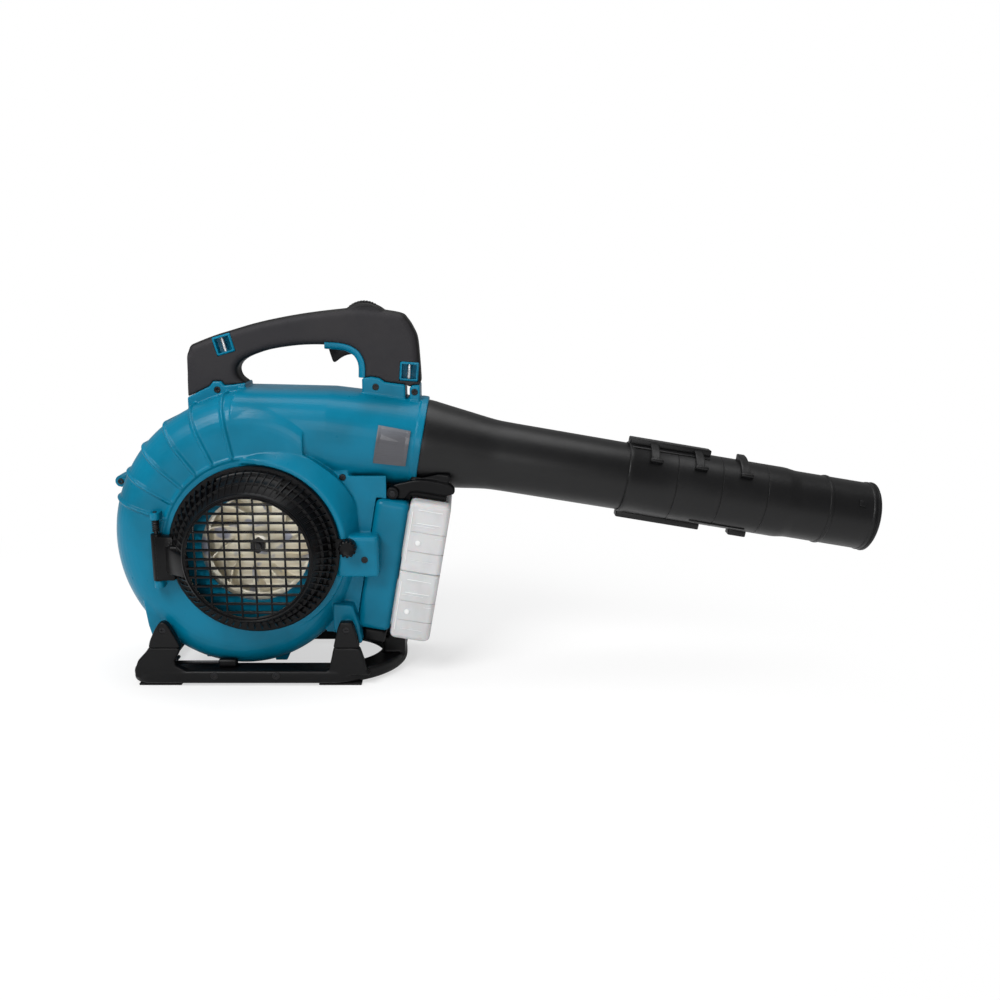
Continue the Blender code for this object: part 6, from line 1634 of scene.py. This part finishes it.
# ---------------------------------------------------------------- battery bay
@dataclass
class BatteryBay:
    """The bay, its sill and the two packs with their buttons."""

    dresser: Dresser
    bay: Bay = field(default_factory=Bay)
    pack_height: float = 0.0775
    pack_depth: float = 0.044
    pack_half: float = 0.058
    drop: float = 0.0045
    head_half: float = 0.05
    head_height: float = 0.052
    head_depth: float = 0.011

    def build(self) -> None:
        """Makes the bay and its sill."""
        place, bay = self.bay.frame(), self.bay
        body = Bench.block("battery_bay_moulded", (-bay.depth, -bay.half_width, 0.0), (0.0, bay.half_width, bay.height),
                           place)
        Bench.rounded(body, 0.0075, 6)
        for index in (0, 1):
            middle = index * self.pack_height - self.drop + self.pack_height / 2
            Bench.cut(body, Bench.block("slot", (-self.head_depth - GAP, -self.head_half - GAP,
                                                 middle - self.head_height / 2 - 0.0006),
                                        (0.01, bay.half_width + 0.01, middle + self.head_height / 2 + 0.0006), place))
            Bench.cut(body, Bench.block("seat", (-self.head_depth - 0.0041, -self.head_half + 0.0057, middle - 0.0183),
                                        (-self.head_depth + 0.001, -self.head_half + 0.0403, middle + 0.0183), place))
        self.dresser.finish(body, "blower", "teal", Finish.TEAL, "battery_bay", angle=30)
        self.dresser.refit("bay_sill", "blower", "black", Finish.SKID, 0.0015, 3)

    def shell(self, name: str, index: int, shrink: float, place: Matrix) -> Object:
        """A pack's rounded body: soft at its free end and along its length, crisp where the packs meet."""
        low = index * self.pack_height - self.drop + GAP / 2
        high = low + self.pack_height - GAP
        free, joint = (low, high) if index == 0 else (high, low)
        levels = [(joint, 0.0012), (joint + math.copysign(0.0012, free - joint), 0.0)]
        for i in range(7):
            a = math.radians(15 * i)
            levels.append((free + math.copysign(0.006 * (1 - math.sin(a)), joint - free), 0.006 * (1 - math.cos(a))))
        rings = []
        for z, inwards in levels:
            inwards += shrink
            deep, wide, corner = self.pack_depth - inwards, self.pack_half - inwards, 0.0065
            ring = []
            joined = GAP + corner * 0.4 + inwards
            for cx, cy, start in ((deep - corner, wide - corner, 0), (joined, wide - corner, 90),
                                  (joined, -wide + corner, 180), (deep - corner, -wide + corner, 270)):
                flat = 0.4 if start in (90, 180) else 1.0
                for k in range(7):
                    a = math.radians(start + 15 * k)
                    ring.append(place @ Vector((cx + corner * flat * math.cos(a), cy + corner * math.sin(a), z)))
            rings.append(ring)
        return Bench.skin(name, rings)

    def pack(self, index: int, name: str) -> None:
        """One pack: a rounded shell with a head, panel lines, a charge light and a button recess."""
        place = self.bay.frame()
        low = index * self.pack_height - self.drop
        high = low + self.pack_height
        middle = (low + high) / 2
        body = self.shell(f"battery_{name}_shell", index, 0.0, place)
        grooves = []
        for share in (0.3, 0.58):
            z = low + self.pack_height * share
            grooves.append(Bench.block("groove", (0.006, -0.07, z - 0.0004), (0.06, 0.07, z + 0.0004), place))
        core = self.shell("core", index, 0.0006, place)
        line = Bench.cut(Bench.gathered("grooves", grooves), core)
        Bench.cut(body, line)
        head = Bench.block("head", (-self.head_depth, -self.head_half, middle - self.head_height / 2),
                           (0.005, self.pack_half - 0.007, middle + self.head_height / 2), place)
        Bench.fuse(body, Bench.rounded(head, 0.001, 2))
        button = self.pack_depth * 0.42
        recess = Bench.block("recess", (button - 0.0076, self.pack_half - 0.009, middle - 0.0156),
                             (button + 0.0076, self.pack_half + 0.01, middle + 0.0156), place)
        Bench.cut(body, recess)
        self.dresser.finish(body, f"pack_{name}", "pack_grey", Finish.PACK, f"battery_{name}", angle=30)
        marks = []
        near = -self.pack_half - 0.0005
        for x_low, x_high, share_low, share_high in ((0.01, 0.036, 0.885, 0.897), (0.01, 0.036, 0.7, 0.712),
                                                     (0.006, 0.03, 0.665, 0.673), (0.032, 0.04, 0.52, 0.528),
                                                     (0.004, 0.005, 0.14, 0.86), (0.01, 0.034, 0.17, 0.177)):
            low_corner = (x_low, near, low + self.pack_height * share_low)
            high_corner = (x_high, near + 0.001, low + self.pack_height * share_high)
            marks.append(Bench.rounded(Bench.block("line", low_corner, high_corner, place), 0.0002, 1))
        lamp = Bench.rod("lamp", place @ Vector((0.015, near + 0.001, low + 0.033)),
                         place @ Vector((0.015, near - 0.0003, low + 0.033)), 0.0034, 24, 0.0026)
        marks.append(Bench.rounded(lamp, 0.0004, 2))
        self.dresser.finish(Bench.gathered(f"pack_lines_{name}", marks), f"pack_{name}", "pack_grey", Finish.PACK_LINE)
        self.dresser.refit(f"battery_button_{name}", f"button_{name}", "charcoal", Finish.CHARCOAL, 0.0006)


# ---------------------------------------------------------------- skid base
@dataclass
class SkidBase:
    """The skid's loop of rail with its boots, brackets, pads and hex wrench."""

    dresser: Dresser
    back: float = -0.139
    front: float = 0.154
    half_width: float = 0.08
    rail: float = 0.0275
    lift: float = 0.0027
    height: float = 0.015
    back_round: float = 0.02
    corners: tuple[float, float, float] = (0.0042, 0.003, 0.0035)
    wrench_line: Point2 = (-0.066, 0.0227)

    def loop(self, shrink: float) -> list[Point2]:
        """The rail's outline from above, moved inwards."""
        half, back = self.half_width - shrink, self.back + shrink
        centre = self.front - self.half_width
        corner = max(self.back_round - shrink / 2, 0.004)
        points = []
        for i in range(49):
            angle = math.radians(-90 + 180 * i / 48)
            points.append((centre + half * math.cos(angle), half * math.sin(angle)))
        for i in range(1, 12):
            points.append((centre + (back + corner - centre) * i / 12, half))
        for side in (1, -1):
            for i in range(13):
                angle = math.radians((90 if side > 0 else 180) + 7.5 * i)
                points.append((back + corner + corner * math.cos(angle),
                               side * (half - corner) + corner * math.sin(angle)))
        for i in range(1, 12):
            points.append((back + corner + (centre - back - corner) * i / 12, -half))
        return points

    def section(self) -> list[Point2]:
        """The rail's section: how far in from its outer face, and how high."""
        width, high = self.rail, self.height
        made = []
        sole, inner, top = self.corners
        for x, z, start, radius in ((sole, sole, 180, sole), (width - inner, inner, 270, inner),
                                    (width - inner, high - inner, 0, inner), (top, high - top, 90, top)):
            for i in range(5):
                angle = math.radians(start + 22.5 * i)
                made.append((x + radius * math.cos(angle), self.lift + z + radius * math.sin(angle)))
        return made

    def build(self) -> None:
        """Makes the loop with its posts, boots and front arm."""
        section = self.section()
        loops = [self.loop(inwards) for inwards, _ in section]
        rings = [[Vector((*loops[k][i], section[k][1])) for k in range(len(section))] for i in range(len(loops[0]))]
        forms = [Bench.skin("rail", rings, closed=True)]
        rear = [(-0.1336, 0.009), (-0.1345, 0.018), (-0.13, 0.029), (-0.1215, 0.038), (-0.1175, 0.0437),
                (-0.0835, 0.0437), (-0.0865, 0.036), (-0.0905, 0.029), (-0.0895, 0.0235), (-0.08, 0.0185),
                (-0.076, 0.009)]
        front = [(0.07, 0.012), (0.0745, 0.02), (0.077, 0.03), (0.08, 0.0437), (0.108, 0.0437),
                 (0.113, 0.028), (0.115, 0.018), (0.12, 0.012)]
        for side in (-1, 1):
            outer, inner = side * (self.half_width - 0.0012), side * (self.half_width - 0.0105)
            for outline in (rear, front):
                post = Bench.plate("post", outline, outer, inner)
                forms.append(Bench.rounded(post, 0.002, 2, 60))
            forms.append(Bench.rounded(Bench.plate("boot", [(-0.133, 0.006), (-0.1325, 0.022), (-0.118, 0.03),
                                                            (-0.1, 0.029), (-0.09, 0.017), (-0.09, 0.006)],
                                                   side * 0.077, side * 0.054), 0.004, 3, 60))
        arm = ((0.1285, 0.012), (0.153, 0.012), (0.153, 0.04), (0.1342, 0.04), (0.1335, 0.035),
               (0.1285, 0.0357))
        forms.append(Bench.rounded(Bench.plate("arm", arm, -0.024, 0.024), 0.002, 2, 60))
        body = Bench.gathered("base_frame_moulded", forms)
        Bench.moulded(body, 0.0011, 6, 150000)
        self.dresser.finish(body, "blower", "black", Finish.SKID, "base_frame", angle=40)

    def brackets(self) -> None:
        """The four flared brackets over the posts, with their screws."""
        outlines = {
            "rear": ((-0.1172, 0.044), (-0.1152, 0.052), (-0.111, 0.061), (-0.107, 0.068), (-0.1035, 0.072),
                     (-0.0985, 0.0725), (-0.0945, 0.069), (-0.0905, 0.061), (-0.086, 0.052), (-0.0832, 0.044)),
            "front": ((0.08, 0.044), (0.0822, 0.054), (0.085, 0.065), (0.088, 0.0725), (0.101, 0.0725),
                      (0.1035, 0.065), (0.106, 0.054), (0.1078, 0.044))}
        places = {"rear": (-0.101, 0.064), "front": (0.0943, 0.064)}
        for end, outline in outlines.items():
            for side, side_name in ((-1, "right"), (1, "left")):
                name = f"bracket_{end}_{side_name}"
                shape = flowing(outline, 3) if end == "rear" else list(outline)
                piece = Bench.plate(f"{name}_moulded", shape, side * self.half_width, side * (self.half_width - 0.01))
                Bench.rounded(piece, 0.002, 3, 60)
                x, z = places[end]
                Bench.cut(piece, Bench.across("recess", (x, z), side * (self.half_width + 0.003),
                                              side * (self.half_width - 0.0029), SCREW_RECESS, 28))
                Bench.cut(piece, Bench.across("hole", (x, z), side * self.half_width,
                                              side * (self.half_width - 0.02), SCREW_HOLE, 16))
                self.dresser.finish(piece, "blower", "black", Finish.SKID, name)
            self.dresser.refit(f"bracket_screw_{end}", "blower", "dark_steel", Finish.DARK_STEEL, 0.0003)

    def fittings(self) -> None:
        """The rail's screws, the rubber pads, the wrench and its holder."""
        for index, x in enumerate((-0.0484, 0.0178)):
            head = Bench.across(f"rail_screw_{index}", (x, 0.0125), -0.079, -0.0806, 0.004, 32)
            Bench.rounded(head, 0.0007, 3)
            Bench.cut(head, Bench.across("socket", (x, 0.0125), -0.08, -0.082, 0.0018, 6))
            self.dresser.finish(head, "blower", "dark_steel", Finish.DARK_STEEL)
        for end in ("rear", "front"):
            for side in ("right", "left"):
                self.dresser.refit(f"foot_pad_{end}_{side}", "blower", "rubber", Finish.RUBBER, 0.0006, 1)
        y, z = self.wrench_line
        bend = [Vector((-0.094 + 0.004 * (1 - math.sin(a)), y + 0.004 * (1 - math.cos(a)), z)) for a in
                (math.radians(90 * i / 8) for i in range(9))]
        path = [Vector((-0.03, y, z)), *bend, Vector((-0.094, y + 0.016, z))]
        self.dresser.finish(Bench.swept("hex_wrench_bar", path, 0.002, 6), "wrench", "dark_steel", Finish.DARK_STEEL,
                            "hex_wrench")
        self.dresser.refit("wrench_holder", "blower", "black", Finish.BLACK, 0.0004)


# ---------------------------------------------------------------- studio
@dataclass(frozen=True)
class Softbox:
    """One rectangular studio light: where it is, what it points at, its size and its power."""

    name: str
    place: tuple[float, float, float]
    aim: tuple[float, float, float]
    size: Point2
    power: float


@dataclass
class Studio:
    """The pale floor, the white background, the softboxes and the camera."""

    camera_place: tuple[float, float, float] = (-0.033845, -1.07503, 0.43764)
    camera_pitch: float = math.radians(77)
    lens: float = 36.0
    shift: float = 0.03
    floor_size: float = 12.0
    intake_power: float = 30.0
    intake_cone: float = math.radians(6.6)
    intake_place: tuple[float, float, float] = (0.02, -1.35, 0.3)
    intake_aim: tuple[float, float, float] = (0.0, -0.08, 0.154)
    lights: tuple[Softbox, ...] = (
        Softbox("key", (-1.0, -1.2, 1.6), (-0.15, 0.0, 0.18), (1.1, 0.9), 39.0),
        Softbox("top", (0.15, 0.25, 1.9), (0.0, 0.0, 0.2), (1.8, 1.0), 20.0),
        Softbox("front", (-0.1, -1.9, 0.55), (-0.1, 0.0, 0.2), (0.7, 0.5), 7.0),
    )

    def floor(self) -> None:
        """A pale floor that keeps the shadow and reads as white to the camera."""
        bpy.ops.object.select_all(action="DESELECT")
        bpy.ops.mesh.primitive_plane_add(size=self.floor_size, location=(0.0, 0.0, 0.0))
        plane = Bench.begun("floor")
        surface = Surface("floor_paper", Specular_IOR_Level=0.1)
        cloud = surface.noise(0.4, 2.0)
        surface.finish(surface.mix(srgb("f4f4f4"), srgb("efefef"), cloud), cloud * 0.1 + 0.8, cloud, 0.00001)
        tree = surface.tree
        path = surface.node("ShaderNodeLightPath")
        glow = surface.node("ShaderNodeEmission", None, {"Color": (1.0, 1.0, 1.0, 1.0), "Strength": 1.0})
        away = ((surface.axis(0) ** 2.0 + surface.axis(1) ** 2.0) ** 0.5).step(0.2, 0.75)
        share = Field(surface, path.outputs["Is Camera Ray"]) * (away * 0.4 + 0.6)
        mixed = surface.node("ShaderNodeMixShader", None, {
            0: share, 1: surface.shader.outputs[0], 2: glow.outputs[0]})
        tree.links.new(mixed.outputs[0], tree.nodes["Material Output"].inputs["Surface"])
        plane.data.materials.append(surface.material)

    def world(self) -> None:
        """A white world to the camera and to transmission rays, and a soft grey light elsewhere."""
        world = bpy.data.worlds.new("studio")
        bpy.context.scene.world = world
        world.use_nodes = True
        tree = world.node_tree
        tree.nodes.clear()
        path = tree.nodes.new("ShaderNodeLightPath")
        soft, white = tree.nodes.new("ShaderNodeBackground"), tree.nodes.new("ShaderNodeBackground")
        soft.inputs["Strength"].default_value = 0.32
        soft.inputs["Color"].default_value = (1.0, 1.0, 1.0, 1.0)
        white.inputs["Strength"].default_value = 1.0
        white.inputs["Color"].default_value = (1.0, 1.0, 1.0, 1.0)
        mix, out = tree.nodes.new("ShaderNodeMixShader"), tree.nodes.new("ShaderNodeOutputWorld")
        most = tree.nodes.new("ShaderNodeMath")
        most.operation = "MAXIMUM"
        tree.links.new(path.outputs["Is Camera Ray"], most.inputs[0])
        tree.links.new(path.outputs["Is Transmission Ray"], most.inputs[1])
        tree.links.new(most.outputs[0], mix.inputs[0])
        tree.links.new(soft.outputs[0], mix.inputs[1])
        tree.links.new(white.outputs[0], mix.inputs[2])
        tree.links.new(mix.outputs[0], out.inputs[0])

    def lamps(self) -> None:
        """The softboxes."""
        for light in self.lights:
            data = bpy.data.lights.new(light.name, "AREA")
            data.shape = "RECTANGLE"
            data.size, data.size_y = light.size
            data.energy = light.power
            lamp = bpy.data.objects.new(light.name, data)
            lamp.location = light.place
            lamp.rotation_euler = (Vector(light.aim) - Vector(light.place)).to_track_quat("-Z", "Y").to_euler()
            bpy.context.scene.collection.objects.link(lamp)
        data = bpy.data.lights.new("intake", "SPOT")
        data.energy = self.intake_power
        data.spot_size, data.spot_blend, data.shadow_soft_size = self.intake_cone, 0.35, 0.04
        lamp = bpy.data.objects.new("intake", data)
        lamp.location = ROOT + Vector(self.intake_place)
        aim = ROOT + Vector(self.intake_aim)
        lamp.rotation_euler = (aim - lamp.location).to_track_quat("-Z", "Y").to_euler()
        bpy.context.scene.collection.objects.link(lamp)

    def camera(self) -> None:
        """The camera at the photograph's place."""
        data = bpy.data.cameras.new("camera")
        data.lens = self.lens
        data.sensor_width = 36.0
        data.shift_x = self.shift
        data.clip_start = 0.01
        camera = bpy.data.objects.new("camera", data)
        camera.location = self.camera_place
        camera.rotation_euler = (self.camera_pitch, 0.0, 0.0)
        bpy.context.scene.collection.objects.link(camera)
        bpy.context.scene.camera = camera

    def build(self) -> None:
        """Sets the whole studio up."""
        self.floor()
        self.world()
        self.lamps()
        self.camera()
        bpy.context.scene.view_settings.view_transform = "Standard"


def main() -> None:
    """Builds every sub-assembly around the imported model, in order."""
    logging.basicConfig(level=logging.INFO, format="%(message)s")
    dresser = Dresser()
    housing = Housing(dresser)
    housing.build()
    housing.fittings()
    handle = Handle(dresser)
    handle.build()
    handle.trim()
    handle.controls()
    cover = IntakeCover(dresser)
    cover.build()
    cover.grille()
    cover.fittings()
    Fan(dresser).build()
    nozzle = Nozzle(dresser)
    nozzle.pipe()
    nozzle.extension()
    nozzle.cradle()
    packs = BatteryBay(dresser)
    packs.build()
    packs.pack(0, "lower")
    packs.pack(1, "upper")
    base = SkidBase(dresser)
    base.build()
    base.brackets()
    base.fittings()
    dresser.paint(Finish.CHARCOAL, "switch_unit", "terminal_block_lower", "terminal_block_upper")
    dresser.paint(Finish.POTTING, "control_unit")
    dresser.paint(Finish.COPPER, "motor_stator")
    dresser.paint(Finish.DARK_STEEL, "motor_rotor", "motor_mount", "motor_shaft")
    dresser.paint(Finish.STEEL, "bearing_front", "bearing_rear", "trigger_pin", "dial_pin")
    Studio().build()


if __name__ == "__main__":
    main()
